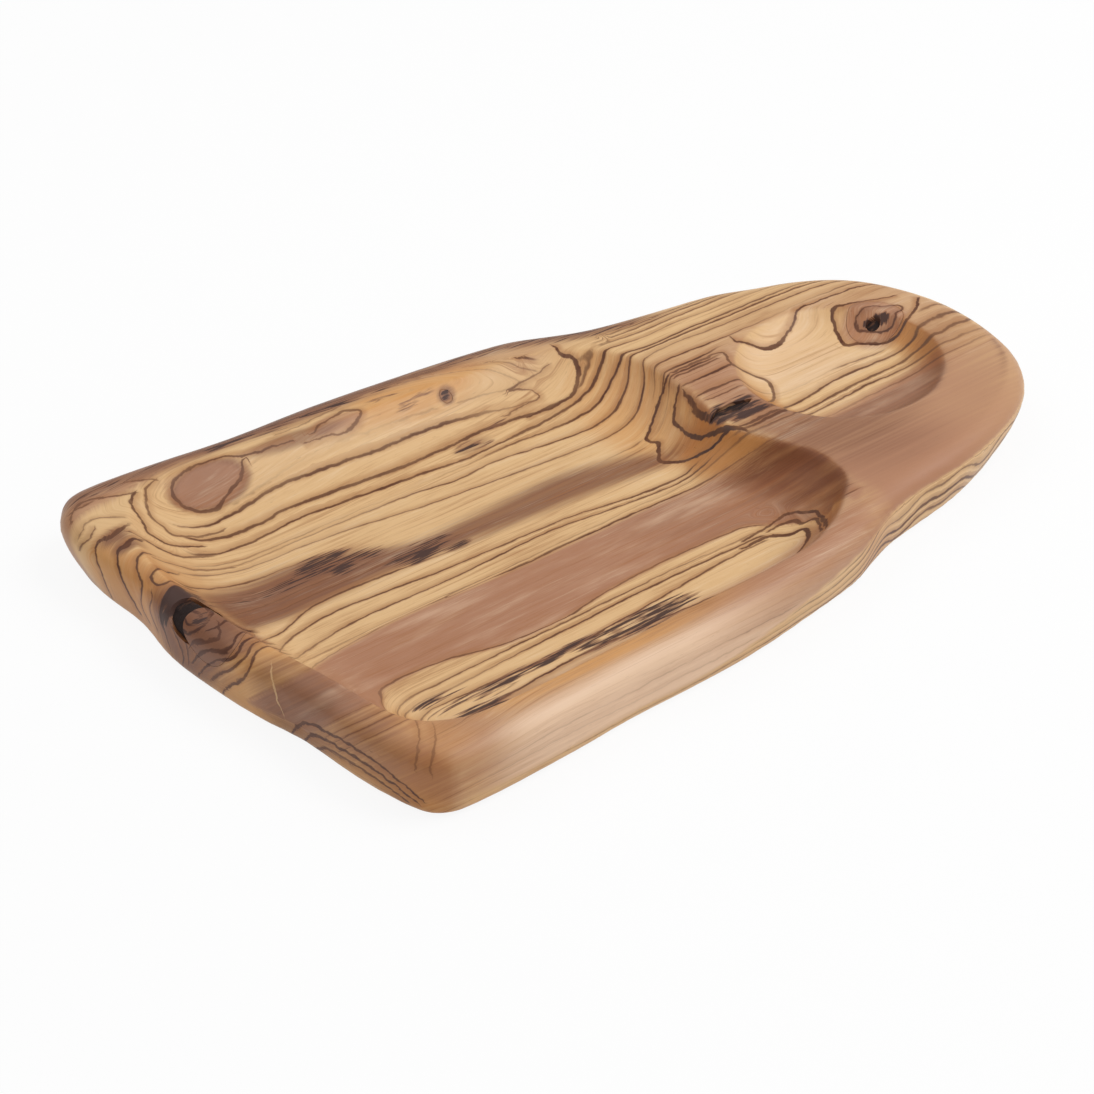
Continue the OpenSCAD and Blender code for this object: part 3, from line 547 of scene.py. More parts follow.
def draw_marks(x, y, z):
    """Distance from the nearest mark with its side as the sign, its half width and its strength.

    Marks that lie side by side go to different sets, so that no side changes between them.
    """
    sets = [(np.full(len(x), 9.0), np.full(len(x), 0.5), np.zeros(len(x))) for _ in range(MARK_SETS)]
    at_end = ease(-172, -180, x)
    drawn = [(x, y, strength * between(low, high, z), points) for low, high, strength, points in MARKS]
    drawn += [(y, up_the_end(x, z), END_FORCE * strength * at_end, points) for strength, points in END_MARKS]
    for number, (a, b, strength, points) in zip(sort_marks(), drawn):
        apart, half, force = sets[number]
        path = smooth_path(points)
        near = np.flatnonzero(
            (a > path[:, 0].min() - MARK_REACH) & (a < path[:, 0].max() + MARK_REACH)
            & (b > path[:, 1].min() - MARK_REACH) & (b < path[:, 1].max() + MARK_REACH) & (strength != 0))
        if len(near) == 0:
            continue
        start, step = path[:-1], np.diff(path, axis=0)
        da, db = a[near, None] - start[None, :, 0], b[near, None] - start[None, :, 1]
        length = np.hypot(step[:, 0], step[:, 1])
        share = (da * step[:, 0] + db * step[:, 1]) / length ** 2
        held = np.clip(share, 0, 1)
        gap = np.hypot(da - held * step[:, 0], db - held * step[:, 1])
        i = gap.argmin(1)
        k = np.arange(len(near))
        side = np.sign(db[k, i] * step[i, 0] - da[k, i] * step[i, 1])
        past = np.where(i == 0, -share[k, 0] * length[0],
                        np.where(i == len(step) - 1, (share[k, -1] - 1) * length[-1], 0))
        seen = strength[near] * ease(2.0, 0.0, np.maximum(past, 0))
        seen = seen * ease(MARK_REACH, MARK_REACH - 1.5, gap[k, i])
        closer = gap[k, i] < np.abs(apart[near])
        chosen = near[closer]
        apart[chosen] = (gap[k, i] * side)[closer]
        half[chosen] = (start[i, 2] + held[k, i] * step[i, 2])[closer]
        force[chosen] = seen[closer]
    return sets


def give_way(x, y, z):
    """How far the plain layers give way, from 0 to 1."""
    away = np.zeros(len(x))
    for *outline, low, high in CLEARINGS:
        away = np.maximum(away, between(low, high, z) * spot(x, y, *outline, soft=0.25))
    return away


def stains(x, y, z, facing, at):
    """Shares of the colours other than honey, by name."""
    flat, outer, crest, to_side = at["flat"], at["outer"], at["crest"], at["to_side"]
    upper = ease(*UPPER_SIDE, z)
    inside = ease(9, 15, to_side)
    on_web = ease(46, 60, x)
    above_stripes = ease(0.95, 0.6, outer)
    at_end = ease(-174, -184, x)

    # Heartwood along the front of the large hollow, up its far wall and faintly on over the web
    heart = np.maximum(ease(-1.5, 1.5, at["u"] - run_through(x, HEART_FRONT)),
                       ease(38, 43, x) * ease(-98, -88, flat) * inside)
    heart = heart * ease(1.5, -1.5, flat - run_through(x, HEART_BACK)) * (1 - outer)
    heart = heart * (1 - on_web * (1 - inside))
    wall = heart * ease(25.9, 25.2, z)
    heart = heart * (1 - 0.75 * on_web * ease(*TOP_FACE, z))
    # Heartwood along the back rim, down the back side and along the front rim; along the front rim it is
    # thinned where the rim faces the front, a painted highlight
    for part in (
            0.80 * ease(crest + 3, crest + 10, flat) * ease(66, 30, x) * (1 - 0.45 * ease(-60, -20, x)),
            0.60 * ease(0.35, 0.8, facing[:, 1]) * ease(24, 20, z),
            0.90 * ease(30, 60, x) * ease(150, 90, x) * ease(-52, -70, y) * above_stripes,
            0.85 * ease(-85, -15, x) * ease(60, 30, x) * ease(17, 11, to_side) * above_stripes * upper
            * (1 - 0.5 * ease(-0.3, -0.9, facing[:, 1]))):
        heart = np.maximum(heart, part)

    # Smoke-brown band through the large hollow, front of the web, back edge, island and far wall
    smoke = ease(5, -7, flat - run_through(x, SMOKE_TOP)) * ease(-3, 5, flat - run_through(x, SMOKE_FOOT))
    smoke = (0.92 + 0.08 * ease(-60, -100, x)) * smoke * ease(48, 25, x) * ease(-190, -172, x)
    back_edge = 0.8 * ease(17, 9, run_through(x, BACK_SIDE) - y) * ease(110, 70, x)
    back_edge = back_edge * ease(-192, -176, x) * upper
    island = oval(x, y, *ISLAND)
    for part in (
            0.66 * spot(x, y, 80, -42, 34, 32, -20, 1.2) * (1 - outer) * ease(*TOP_FACE, z),
            0.20 * spot(x, y, 150, -28, 40, 9, 25, 1.2) * (1 - outer),
            back_edge,
            0.60 * ease(0.70, 0.95, island) * ease(1.22, 1.02, island) * upper,
            0.25 * ease(1.02, 0.9, island) * upper,
            wall * (0.25 * ease(-40, 10, x) + 0.45 * ease(24, 46, x))):
        smoke = np.maximum(smoke, part)

    # Warm wood on the wide end and round its front corner, thinned round the corner where it faces the front,
    # a painted highlight
    amber = np.maximum(
        0.8 * ease(-176, -190, x) * ease(86, 74, y),
        0.8 * spot(x, y, -192, -100, 24, 44, 0, 0.8) * (1 - 0.6 * ease(-0.2, -0.9, facing[:, 1])))

    # Plain wood of the web, the narrow end and the front rim; where the front rim faces the front it gets
    # blush, pale pink wood together with a painted highlight
    tan = np.maximum(0.85 * ease(*TOP_FACE, z) * ease(55, 62, x) * ease(60, 20, y),
                     0.95 * ease(-20, -30, y) * on_web)
    tan = tan * (1 - 0.35 * ease(140, 185, x)) * above_stripes
    front_rim = ease(90, 20, x) * above_stripes * ease(-201, -165, x)
    tan = np.maximum(tan, (0.75 + 0.2 * ease(-40, 30, x)) * ease(-80, -90, y) * front_rim)
    # Blush on the faces of the front rim that turn to the front: pale wood and painted highlight
    blush = 0.95 * ease(0.0, -0.8, facing[:, 1]) * ease(-70, -80, y) * front_rim
    blush = blush * (1 - 0.85 * ease(-70, 10, x)) * ease(-185, -140, x)
    calm = (1 - 0.5 * blush) * (1 - 0.8 * at["turned"]) * (1 - 0.5 * at_end)

    shares = dict(heart=heart, smoke=smoke, char=0.5 * back_edge, amber=amber, blush=blush, tan=tan)
    parts = [(stain, strength * spot(x, y, *outline) * ease(*levels, z))
             for stain, strength, *outline, levels in STAIN_SPOTS]
    parts += [(stain, strength * at_end * spot(y, up_the_end(x, z), *outline, 0, soft))
              for stain, strength, *outline, soft in END_SPOTS]
    parts += [(stain, strength * spot(x, flat, *outline, 0, STREAK_SOFT))
              for stain, strength, *outline in STREAKS]
    for stain, part in parts:
        shares[stain] = np.maximum(shares[stain], part)
    return dict(shares, calm=calm, cloud=wall)


def cut_across(x, y, facing):
    """Share of end grain; the wide end has taken less oil, least at its back corner."""
    wide_end = ease(-120, -160, x)
    spared = 0.5 + 0.35 * ease(50, 80, y) + 0.4 * ease(14, -4, y) * ease(-110, -80, y)
    kept = 1 - wide_end * spared - 0.75 * (1 - wide_end) * ease(-4, 12, y)
    narrow_end = ease(90, 110, x) * ease(0.0, 0.2, facing[:, 0])
    return ease(0.14, 0.52, np.abs(facing[:, 0])) * kept * (1 - 0.85 * narrow_end)


def read_points(mesh, name):
    """Places or normals of a mesh's points, one row each."""
    values = np.empty(len(mesh.vertices) * 3)
    mesh.vertices.foreach_get(name, values)
    return values.reshape(-1, 3)


def write_field(mesh, name, values, kind="FLOAT"):
    """Keep one value for each point of a mesh, for its material to read."""
    field = mesh.attributes.new(name, kind, "POINT")
    part = "vector" if kind == "FLOAT_VECTOR" else "value"
    field.data.foreach_set(part, np.ascontiguousarray(values).ravel())


def draw_figure(mesh):
    """Write the growth figure to the points of a piece."""
    x, y, z = read_points(mesh, "co").T / MM
    facing = read_points(mesh, "normal")
    at = across_layers(x, y, z)
    layer, force, thick = count_layers(x, at["u"])
    for number, drawn in enumerate(draw_marks(x, y, z)):
        for name, values in zip(("mark", "mark_width", "mark_line"), drawn):
            write_field(mesh, f"{name}_{number}", values)
    write_field(mesh, "board", np.stack((x, at["fibre"], z), axis=1), "FLOAT_VECTOR")
    for name, values in dict(
            layer=layer, layer_line=force * (1 - at["turned"]) * (1 - give_way(x, y, z)), layer_width=thick,
            end_grain=cut_across(x, y, facing),
            **stains(x, y, z, facing, at)).items():
        write_field(mesh, name, values)


class Wiring:
    """Short ways to lay nodes in a tree."""

    def __init__(self, tree):
        self.tree = tree

    def put(self, socket, value):
        if isinstance(value, bpy.types.NodeSocket):
            self.tree.links.new(value, socket)
        elif socket.type == "RGBA":
            socket.default_value = (*value, 1)
        else:
            socket.default_value = value

    def node(self, kind, **sockets):
        node = self.tree.nodes.new(kind)
        for name, value in sockets.items():
            self.put(node.inputs[name.replace("_", " ")], value)
        return node

    def field(self, name, output="Fac"):
        node = self.tree.nodes.new("ShaderNodeAttribute")
        node.attribute_name = name
        return node.outputs[output]

    def calc(self, operation, *values, clamp=False):
        node = self.tree.nodes.new("ShaderNodeMath")
        node.operation = operation
        node.use_clamp = clamp
        for socket, value in zip(node.inputs, values):
            self.put(socket, value)
        return node.outputs[0]

    def step(self, value, start, end, low=0.0, high=1.0):
        node = self.tree.nodes.new("ShaderNodeMapRange")
        node.interpolation_type = "SMOOTHSTEP"
        for name, given in (("Value", value), ("From Min", start), ("From Max", end),
                            ("To Min", low), ("To Max", high)):
            self.put(node.inputs[name], given)
        return node.outputs[0]

    def total(self, *parts):
        """Sum of values, each times its weight."""
        value = 0.0
        for part, weight in parts:
            value = self.calc("MULTIPLY_ADD", part, weight, value)
        return value

    def noise(self, place, stretch, detail):
        """Even noise about zero, from -1 to 1, on a place stretched by three factors."""
        wide = self.tree.nodes.new("ShaderNodeVectorMath")
        wide.operation = "MULTIPLY"
        self.put(wide.inputs[0], place)
        wide.inputs[1].default_value = stretch
        node = self.node("ShaderNodeTexNoise", Vector=wide.outputs[0], Scale=1.0, Detail=detail)
        return self.calc("MULTIPLY_ADD", node.outputs[0], 2.0, -1.0)

    def mix(self, share, first, second, blend="MIX"):
        node = self.tree.nodes.new("ShaderNodeMix")
        node.data_type = "RGBA"
        node.blend_type = blend
        for index, value in ((0, share), (6, first), (7, second)):
            self.put(node.inputs[index], value)
        return node.outputs[2]


def figure_group():
    """Olive wood: stained layers, dark growth lines, rings, fibres and pores."""
    name = "Olive figure"
    if name in bpy.data.node_groups:
        return bpy.data.node_groups[name]
    tree = bpy.data.node_groups.new(name, "ShaderNodeTree")
    for colour in COLOURS:
        tree.interface.new_socket(colour, in_out="INPUT", socket_type="NodeSocketColor")
    for value in ("Wander", "Roughness"):
        tree.interface.new_socket(value, in_out="INPUT", socket_type="NodeSocketFloat")
    tree.interface.new_socket("Color", in_out="OUTPUT", socket_type="NodeSocketColor")
    for value in ("Roughness", "Height"):
        tree.interface.new_socket(value, in_out="OUTPUT", socket_type="NodeSocketFloat")
    w = Wiring(tree)
    given = tree.nodes.new("NodeGroupInput").outputs
    result = tree.nodes.new("NodeGroupOutput").inputs
    board = w.field("board", "Vector")
    place = w.node("ShaderNodeTexCoord").outputs["Object"]

    # Fibres run along the grain; each noise is finer across it
    grain = {name: w.noise(board, *row) for name, row in GRAIN.items()}
    streak, fibre = grain["streak"], grain["fibre"]

    # Growth lines and marks wander a little and vary in width
    wander = w.calc("MULTIPLY", w.total((grain["sway"], 1.2), (grain["shiver"], 0.8)), given["Wander"])
    wobble = w.calc("MULTIPLY_ADD", w.noise(place, *WOBBLE), 0.9, wander)
    worn = w.calc("MULTIPLY_ADD", grain["worn"], 0.3, 0.88)
    width = w.field("layer_width")
    number = w.calc("ADD", w.field("layer"), w.calc("DIVIDE", wander, width))
    past = w.calc("SUBTRACT", w.calc("FRACT", w.calc("ADD", number, 0.5)), 0.5)
    lines = w.field("layer_line")
    drawn = [(w.calc("MULTIPLY", past, width), w.calc("MULTIPLY_ADD", lines, 0.36, 0.10), lines)]
    for i in range(MARK_SETS):
        drawn.append((w.calc("ADD", w.field(f"mark_{i}"), wobble),
                      w.calc("MULTIPLY", w.field(f"mark_width_{i}"), 0.75),
                      w.field(f"mark_line_{i}")))

    # Each line has a dark core and a brown fringe on one side; a core below zero is a pale crack
    fringe_end = w.calc("MULTIPLY_ADD", streak, 2.0, 4.5)
    cores, fringes = [], []
    for apart, half, force in drawn:
        force = w.calc("MULTIPLY", force, worn)
        half = w.calc("MULTIPLY_ADD", grain["fatter"], 0.32, half)
        edge = w.calc("SUBTRACT", w.calc("ABSOLUTE", apart), half)
        cores.append(w.calc("MULTIPLY", w.step(edge, 0.26, -0.16), force))
        soft = w.calc("MULTIPLY", w.step(apart, -1.6, 0.0), w.step(apart, fringe_end, 0.0))
        fringes.append(w.calc("MULTIPLY", soft, force))
    core, fringe, crack = cores[0], fringes[0], 0.0
    for more_core, more_fringe in zip(cores[1:], fringes[1:]):
        core = w.calc("MAXIMUM", core, more_core)
        fringe = w.calc("MAXIMUM", fringe, more_fringe)
        crack = w.calc("MINIMUM", crack, more_core)
    core = w.calc("MINIMUM", core, 1.0)
    crack = w.calc("MULTIPLY", crack, -1.0, clamp=True)
    fringe = w.calc("MULTIPLY", fringe, 0.7)

    def stain(name, feather):
        share = w.field(name)
        edge = w.calc("MULTIPLY", w.calc("MULTIPLY", share, w.calc("SUBTRACT", 1.0, share)), 4.0)
        return w.calc("MULTIPLY_ADD", w.calc("MULTIPLY", edge, streak), feather, share, clamp=True)

    # Stains with feathered edges, of which blush is partly a painted highlight on the front rim, pale clouds
    # on the far wall, then lighter and darker fibres
    colour = given["Honey"]
    for name, feather in (("tan", 0.3), ("blush", 0.4), ("amber", 1.0), ("heart", 0.5), ("smoke", 0.6)):
        colour = w.mix(stain(name, feather), colour, given[name.title()])
    cloud = w.step(grain["cloud"], -0.1, 0.6, 0.0, 0.45)
    colour = w.mix(w.calc("MULTIPLY", cloud, w.field("cloud")), colour, given["Blush"])
    calm = w.field("calm")
    tone = w.total((grain["broad"], 0.45), (streak, 0.40), (fibre, 0.50), (w.noise(place, *MOTTLE), 0.35))
    tone = w.calc("MULTIPLY", tone, calm)
    colour = w.mix(w.step(tone, 0.0, 0.7, 0.0, 0.40), colour, PALE_FIBRE)
    colour = w.mix(w.step(tone, 0.05, -0.6, 0.0, 0.65), colour, given["Fringe"])
    end_grain = w.field("end_grain")
    colour = w.mix(end_grain, colour, w.mix(1.0, colour, given["End Grain"], "MULTIPLY"))

    # Hair lines, growth lines, cracks and char over them
    hair = w.calc("MULTIPLY", w.step(grain["hair"], 0.15, 0.5), w.calc("MULTIPLY", calm, 0.45))
    colour = w.mix(w.calc("MAXIMUM", fringe, hair), colour, given["Fringe"])
    colour = w.mix(core, colour, w.mix(end_grain, given["Line"], given["Char"]))
    colour = w.mix(crack, colour, given["Honey"])
    share = w.field("char")
    heat = w.calc("MULTIPLY_ADD", grain["flame"], 2.0, share)
    scorched = w.calc("MULTIPLY", w.step(heat, 0.15, 0.6), w.step(share, 0.0, 0.3, 0.0, 0.75))
    colour = w.mix(scorched, colour, given["Smoke"])
    burnt = w.calc("MULTIPLY", w.step(heat, 0.6, 0.88), w.step(share, 0.0, 0.3, 0.0, 0.90))
    colour = w.mix(burnt, colour, given["Char"])
    pores = w.step(grain["pores"], 0.36, 0.6)
    colour = w.mix(w.calc("MULTIPLY", pores, 0.18), colour, given["Line"])

    w.put(result["Color"], colour)
    w.put(result["Roughness"], w.total((given["Roughness"], 1.0), (fibre, 0.05), (core, 0.06), (burnt, 0.10)))
    w.put(result["Height"], w.total((fibre, 0.35), (pores, -0.5), (core, -0.25)))
    return tree


def new_material(name):
    """A material, the wiring of its tree and its shader."""
    material = bpy.data.materials.new(name)
    material.use_nodes = True
    return material, Wiring(material.node_tree), material.node_tree.nodes["Principled BSDF"]


def wood_material(name, finish, sources, wander, bump):
    """Oiled olive wood; the sources are the finish's colours, in the order of the figure's."""
    material, w, shader = new_material(name)
    figure = w.node("ShaderNodeGroup")
    figure.node_tree = figure_group()
    for colour, source in zip(COLOURS, sources):
        w.put(figure.inputs[colour], getattr(finish, source))
    figure.inputs["Wander"].default_value = wander
    figure.inputs["Roughness"].default_value = finish.roughness
    dents = w.node("ShaderNodeBump", Height=figure.outputs["Height"], Strength=0.5, Distance=bump)
    for socket, value in (("Base Color", figure.outputs["Color"]), ("Roughness", figure.outputs["Roughness"]),
                          ("Normal", dents.outputs[0])):
        w.put(shader.inputs[socket], value)
    shader.inputs["Specular IOR Level"].default_value = 0.3
    return material


def bark_material(name, finish):
    """Old bark: near black, flaky, with brown where it has worn."""
    material, w, shader = new_material(name)
    place = w.node("ShaderNodeTexCoord").outputs["Object"]
    flakes = w.noise(place, *BARK_FLAKES)
    grit = w.noise(place, *BARK_GRIT)
    colour = w.mix(w.step(flakes, 0.05, 0.5, 0.0, 0.55), finish.bark, finish.smoke)
    colour = w.mix(w.step(grit, 0.1, 0.6, 0.0, 0.5), colour, finish.char)
    height = w.calc("MULTIPLY_ADD", grit, 0.4, flakes)
    dents = w.node("ShaderNodeBump", Height=height, Strength=0.8, Distance=0.6 * MM)
    for socket, value in (("Base Color", colour), ("Normal", dents.outputs[0]),
                          ("Roughness", w.calc("MULTIPLY_ADD", grit, 0.08, 0.78))):
        w.put(shader.inputs[socket], value)
    shader.inputs["Specular IOR Level"].default_value = 0.15
    return material


def scene_object(name, data):
    """An object with this data, in the scene."""
    obj = bpy.data.objects.new(name, data)
    bpy.context.scene.collection.objects.link(obj)
    return obj


def drop(*objects):
    """Remove objects and the meshes that nothing else uses."""
    for obj in objects:
        mesh = obj.data
        bpy.data.objects.remove(obj)
        if mesh.users == 0:
            bpy.data.meshes.remove(mesh)


def made_mesh(obj, name):
    """The object's mesh with its modifiers applied, as a plain mesh of its own."""
    bpy.context.view_layer.update()
    graph = bpy.context.evaluated_depsgraph_get()
    mesh = bpy.data.meshes.new_from_object(obj.evaluated_get(graph), depsgraph=graph)
    mesh.name = name
    return mesh


def packed_solids():
    """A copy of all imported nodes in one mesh, with their loose triangles merged."""
    bm = bmesh.new()
    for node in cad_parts.values():
        bm.from_mesh(node.data)
    bmesh.ops.remove_doubles(bm, verts=bm.verts, dist=MERGE_GAP)
    mesh = bpy.data.meshes.new("packed_solids")
    bm.to_mesh(mesh)
    bm.free()
    mesh.materials.clear()
    return mesh


def sanding_tree():
    """Geometry Nodes that sand a carved surface without shrinking it and leave soft waves."""
    tree = bpy.data.node_groups.new("Sanded by hand", "GeometryNodeTree")
    for name, kind in (("Geometry", "Geometry"), ("Sanding", "Int"), ("Relief", "Float"),
                       ("Relief Width", "Float"), ("Material", "Material")):
        tree.interface.new_socket(name, in_out="INPUT", socket_type="NodeSocket" + kind)
    tree.interface.new_socket("Geometry", in_out="OUTPUT", socket_type="NodeSocketGeometry")
    w = Wiring(tree)
    given = w.node("NodeGroupInput").outputs
    result = w.node("NodeGroupOutput").inputs

    def vector_math(operation, first, second):
        node = w.node("ShaderNodeVectorMath")
        node.operation = operation
        w.put(node.inputs[0], first)
        w.put(node.inputs["Scale" if operation == "SCALE" else 1], second)
        return node.outputs["Vector"]

    def blurred(value):
        node = w.node("GeometryNodeBlurAttribute", Iterations=given["Sanding"])
        node.data_type = "FLOAT_VECTOR"
        w.put(next(s for s in node.inputs if s.enabled and s.type == "VECTOR"), value)
        return next(s for s in node.outputs if s.enabled)

    place = w.node("GeometryNodeInputPosition").outputs[0]
    soft = blurred(place)
    kept = vector_math("ADD", soft, blurred(vector_math("SUBTRACT", place, soft)))
    sanded = w.node("GeometryNodeSetPosition", Geometry=given["Geometry"], Position=kept)
    spread = vector_math("SCALE", place, w.calc("DIVIDE", 1.0, given["Relief Width"]))
    waves = w.node("ShaderNodeTexNoise", Vector=spread, Scale=1.0, Detail=1.0)
    inward = w.calc("MULTIPLY", w.calc("MULTIPLY", waves.outputs[0], given["Relief"]), -1.0)
    sunk = vector_math("SCALE", w.node("GeometryNodeInputNormal").outputs[0], inward)
    waved = w.node("GeometryNodeSetPosition", Geometry=sanded.outputs[0], Offset=sunk)
    smooth = w.node("GeometryNodeSetShadeSmooth", Geometry=waved.outputs[0])
    real = w.node("GeometryNodeRealizeInstances", Geometry=smooth.outputs[0])
    dressed = w.node("GeometryNodeSetMaterial", Geometry=real.outputs[0], Material=given["Material"])
    w.put(result["Geometry"], dressed.outputs[0])
    return tree


def set_input(modifier, name, value):
    """Set an input of a Geometry Nodes modifier by its socket's identifier."""
    sockets = modifier.node_group.interface.items_tree
    modifier[next(s.identifier for s in sockets if s.name == name and s.in_out == "INPUT")] = value


def sand_blank(shape, material):
    """The whole plate as one sanded skin, knots and bark included, before it is parted."""
    blank = scene_object("packed_blank", packed_solids())
    grid = blank.modifiers.new("Grid", "REMESH")
    grid.mode = "VOXEL"
    grid.voxel_size = shape.grid
    sanding = blank.modifiers.new("Sanding", "NODES")
    sanding.node_group = sanding_tree()
    for name, value in (("Sanding", shape.sanding), ("Relief", shape.relief),
                        ("Relief Width", shape.relief_width), ("Material", material)):
        set_input(sanding, name, value)
    mesh = made_mesh(blank, BLANK)
    mesh.use_fake_user = True
    drop(blank)
    return mesh


def ring_mesh(name, rings):
    """A closed mesh through a stack of rings, from the lowest up."""
    count = len(rings[0])
    bm = bmesh.new()
    rows = [[bm.verts.new(Vector(p) * MM) for p in ring] for ring in rings]
    for low, high in zip(rows, rows[1:]):
        for i in range(count):
            j = (i + 1) % count
            bm.faces.new((low[i], low[j], high[j], high[i]))
    bm.faces.new(list(reversed(rows[0])))
    bm.faces.new(rows[-1])
    bmesh.ops.triangulate(bm, faces=[f for f in bm.faces if len(f.verts) > 4])
    bmesh.ops.recalc_face_normals(bm, faces=bm.faces)
    mesh = bpy.data.meshes.new(name)
    bm.to_mesh(mesh)
    bm.free()
    return mesh


def plug_frame(plug):
    """Where a plug's own axes stand in the plate: its face is at the origin, its axis is +Z."""
    return Matrix.Translation(plug["face"]) @ Euler((0, -math.radians(plug["lean"]), 0)).to_matrix().to_4x4()


def uneven(angle):
    """Share of the full radius that the outline of a knot has in a direction."""
    return 0.95 + 0.03 * math.sin(2 * angle + 0.6) + 0.02 * math.sin(3 * angle + 1.9)


def plug_tool(name, plug, grow=0.0, sides=64):
    """A slightly uneven cone in the shape of a dead branch stub."""
    place = plug_frame(plug)
    widening = (plug["width"] - plug["root"]) / plug["depth"]
    rings = []
    for height in np.linspace(-plug["depth"] - grow, plug["reach"], 7):
        radius = (plug["width"] + widening * height) / 2
        rings.append([place @ Vector((
            (radius * uneven(a) + grow) * math.cos(a), (radius * uneven(a) + grow) * math.sin(a), height))
            for a in np.linspace(0, 2 * math.pi, sides, endpoint=False)])
    return scene_object(name, ring_mesh(name, rings))


def seam_tool(name, seam, grow=0.0, steps=24):
    """A lens with its points along the grain, its sides a little ragged."""
    x, y, top = seam["face"]
    half, wide = seam["length"] / 2, seam["width"] / 2
    outline = []
    for side in (1, -1):
        for share in np.linspace(-1, 1, steps, endpoint=False) * side:
            bow = wide * (1 - share * share) * (0.92 + 0.08 * math.sin(9 * share + side))
            outline.append((x + (half + grow) * share, y - side * (bow + grow)))
    heights = (top - seam["depth"] - grow, top + seam["reach"])
    return scene_object(name, ring_mesh(name, [[(px, py, z) for px, py in outline] for z in heights]))


def parted(name, operations, tools, mesh=None):
    """A copy of the sanded skin, kept inside or outside the tools."""
    obj = scene_object(name, (mesh or bpy.data.meshes[BLANK]).copy())
    for kind, tool in zip(operations, tools):
        cut = obj.modifiers.new("Part", "BOOLEAN")
        cut.operation = kind
        cut.solver = "MANIFOLD"
        cut.object = tool
    made = made_mesh(obj, name)
    drop(obj)
    return made


def finish_piece(name, mesh, node, material):
    """Dress a parted mesh, draw its figure and put it in the place of its node."""
    if not mesh.polygons:
        raise RuntimeError(f"{name} came out empty")
    mesh.materials.clear()
    mesh.materials.append(material)
    mesh.polygons.foreach_set("material_index", [0] * len(mesh.polygons))
    mesh.set_sharp_from_angle(angle=math.radians(SHARP_ANGLE))
    draw_figure(mesh)
    piece = scene_object(name, mesh)
    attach(piece, "root")
    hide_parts(node)
    return piece


def sunk_blank(depth):
    """A copy of the sanded skin, sunk and left rough, that the bark is parted from."""
    mesh = bpy.data.meshes[BLANK].copy()
    mesh.name = "sunk_blank"
    points, facing = read_points(mesh, "co"), read_points(mesh, "normal")
    rough = [noise.noise(Vector(p) / LUMP_SIZE) + 0.6 * noise.noise(Vector(p) / FLAKE_SIZE) for p in points]
    points -= facing * depth * (1 + 0.45 * np.array(rough))[:, None]
    mesh.vertices.foreach_set("co", points.ravel())
    mesh.update()
    return mesh


class PLATE_OT_carve_plank(bpy.types.Operator):
    """Sand the carved plank and cut the sockets of its knots and bark."""
    bl_idname = "plate.carve_plank"
    bl_label = "Carve plank"

    def execute(self, context):
        shape, finish = context.scene.plate_shape, context.scene.plate_finish
        wood = wood_material("oiled_olive_wood", finish, PLANK_COLOURS, wander=1.0, bump=0.05 * MM)
        sand_blank(shape, wood)
        plugs = (RIM_KNOT, RIM_BARK, DISH_KNOT, PIN_KNOT)
        tools = [plug_tool(f"socket_{i}", plug) for i, plug in enumerate(plugs)]
        tools.append(seam_tool("socket_seam", WEB_SEAM))
        mesh = parted("carved_plank_sanded", ["DIFFERENCE"] * len(tools), tools)
        drop(*tools)
        finish_piece("carved_plank_sanded", mesh, "carved_plank", wood)
        return {"FINISHED"}


class PLATE_OT_let_in_knots(bpy.types.Operator):
    """Let the three dead knots into their sockets."""
    bl_idname = "plate.let_in_knots"
    bl_label = "Let in knots"

    def execute(self, context):
        shape, finish = context.scene.plate_shape, context.scene.plate_finish
        wood = wood_material("knot_wood", finish, KNOT_COLOURS, wander=1.8, bump=0.08 * MM)
        gap = shape.seam_gap / MM
        for name, plug, core in (("rim_knot", RIM_KNOT, None), ("dish_knot", DISH_KNOT, DISH_PITH),
                                 ("pin_knot", PIN_KNOT, None)):
            tools = [plug_tool("plug", plug, -gap)]
            if core:
                tools.append(plug_tool("core", core))
            mesh = parted(name + "_sanded", ["INTERSECT", "DIFFERENCE"], tools)
            drop(*tools)
            finish_piece(name + "_sanded", mesh, name, wood)
        return {"FINISHED"}


class PLATE_OT_pack_bark(bpy.types.Operator):
    """Pack the bark pockets, the pith and the bark seam."""
    bl_idname = "plate.pack_bark"
    bl_label = "Pack bark"

    def execute(self, context):
        shape, finish = context.scene.plate_shape, context.scene.plate_finish
        bark = bark_material("old_bark", finish)
        gap = shape.seam_gap / MM
        rough = sunk_blank(shape.bark_sink)
        for name, tools in (
                ("rim_knot_bark", [plug_tool("pocket", RIM_BARK, -gap), plug_tool("knot", RIM_KNOT)]),
                ("dish_knot_pith", [plug_tool("pith", DISH_PITH, -gap)]),
                ("web_bark_seam", [seam_tool("seam", WEB_SEAM, -gap)])):
            mesh = parted(name + "_rough", ["INTERSECT", "DIFFERENCE"], tools, rough)
            drop(*tools)
            finish_piece(name + "_rough", mesh, name, bark)
        bpy.data.meshes.remove(rough)
        return {"FINISHED"}


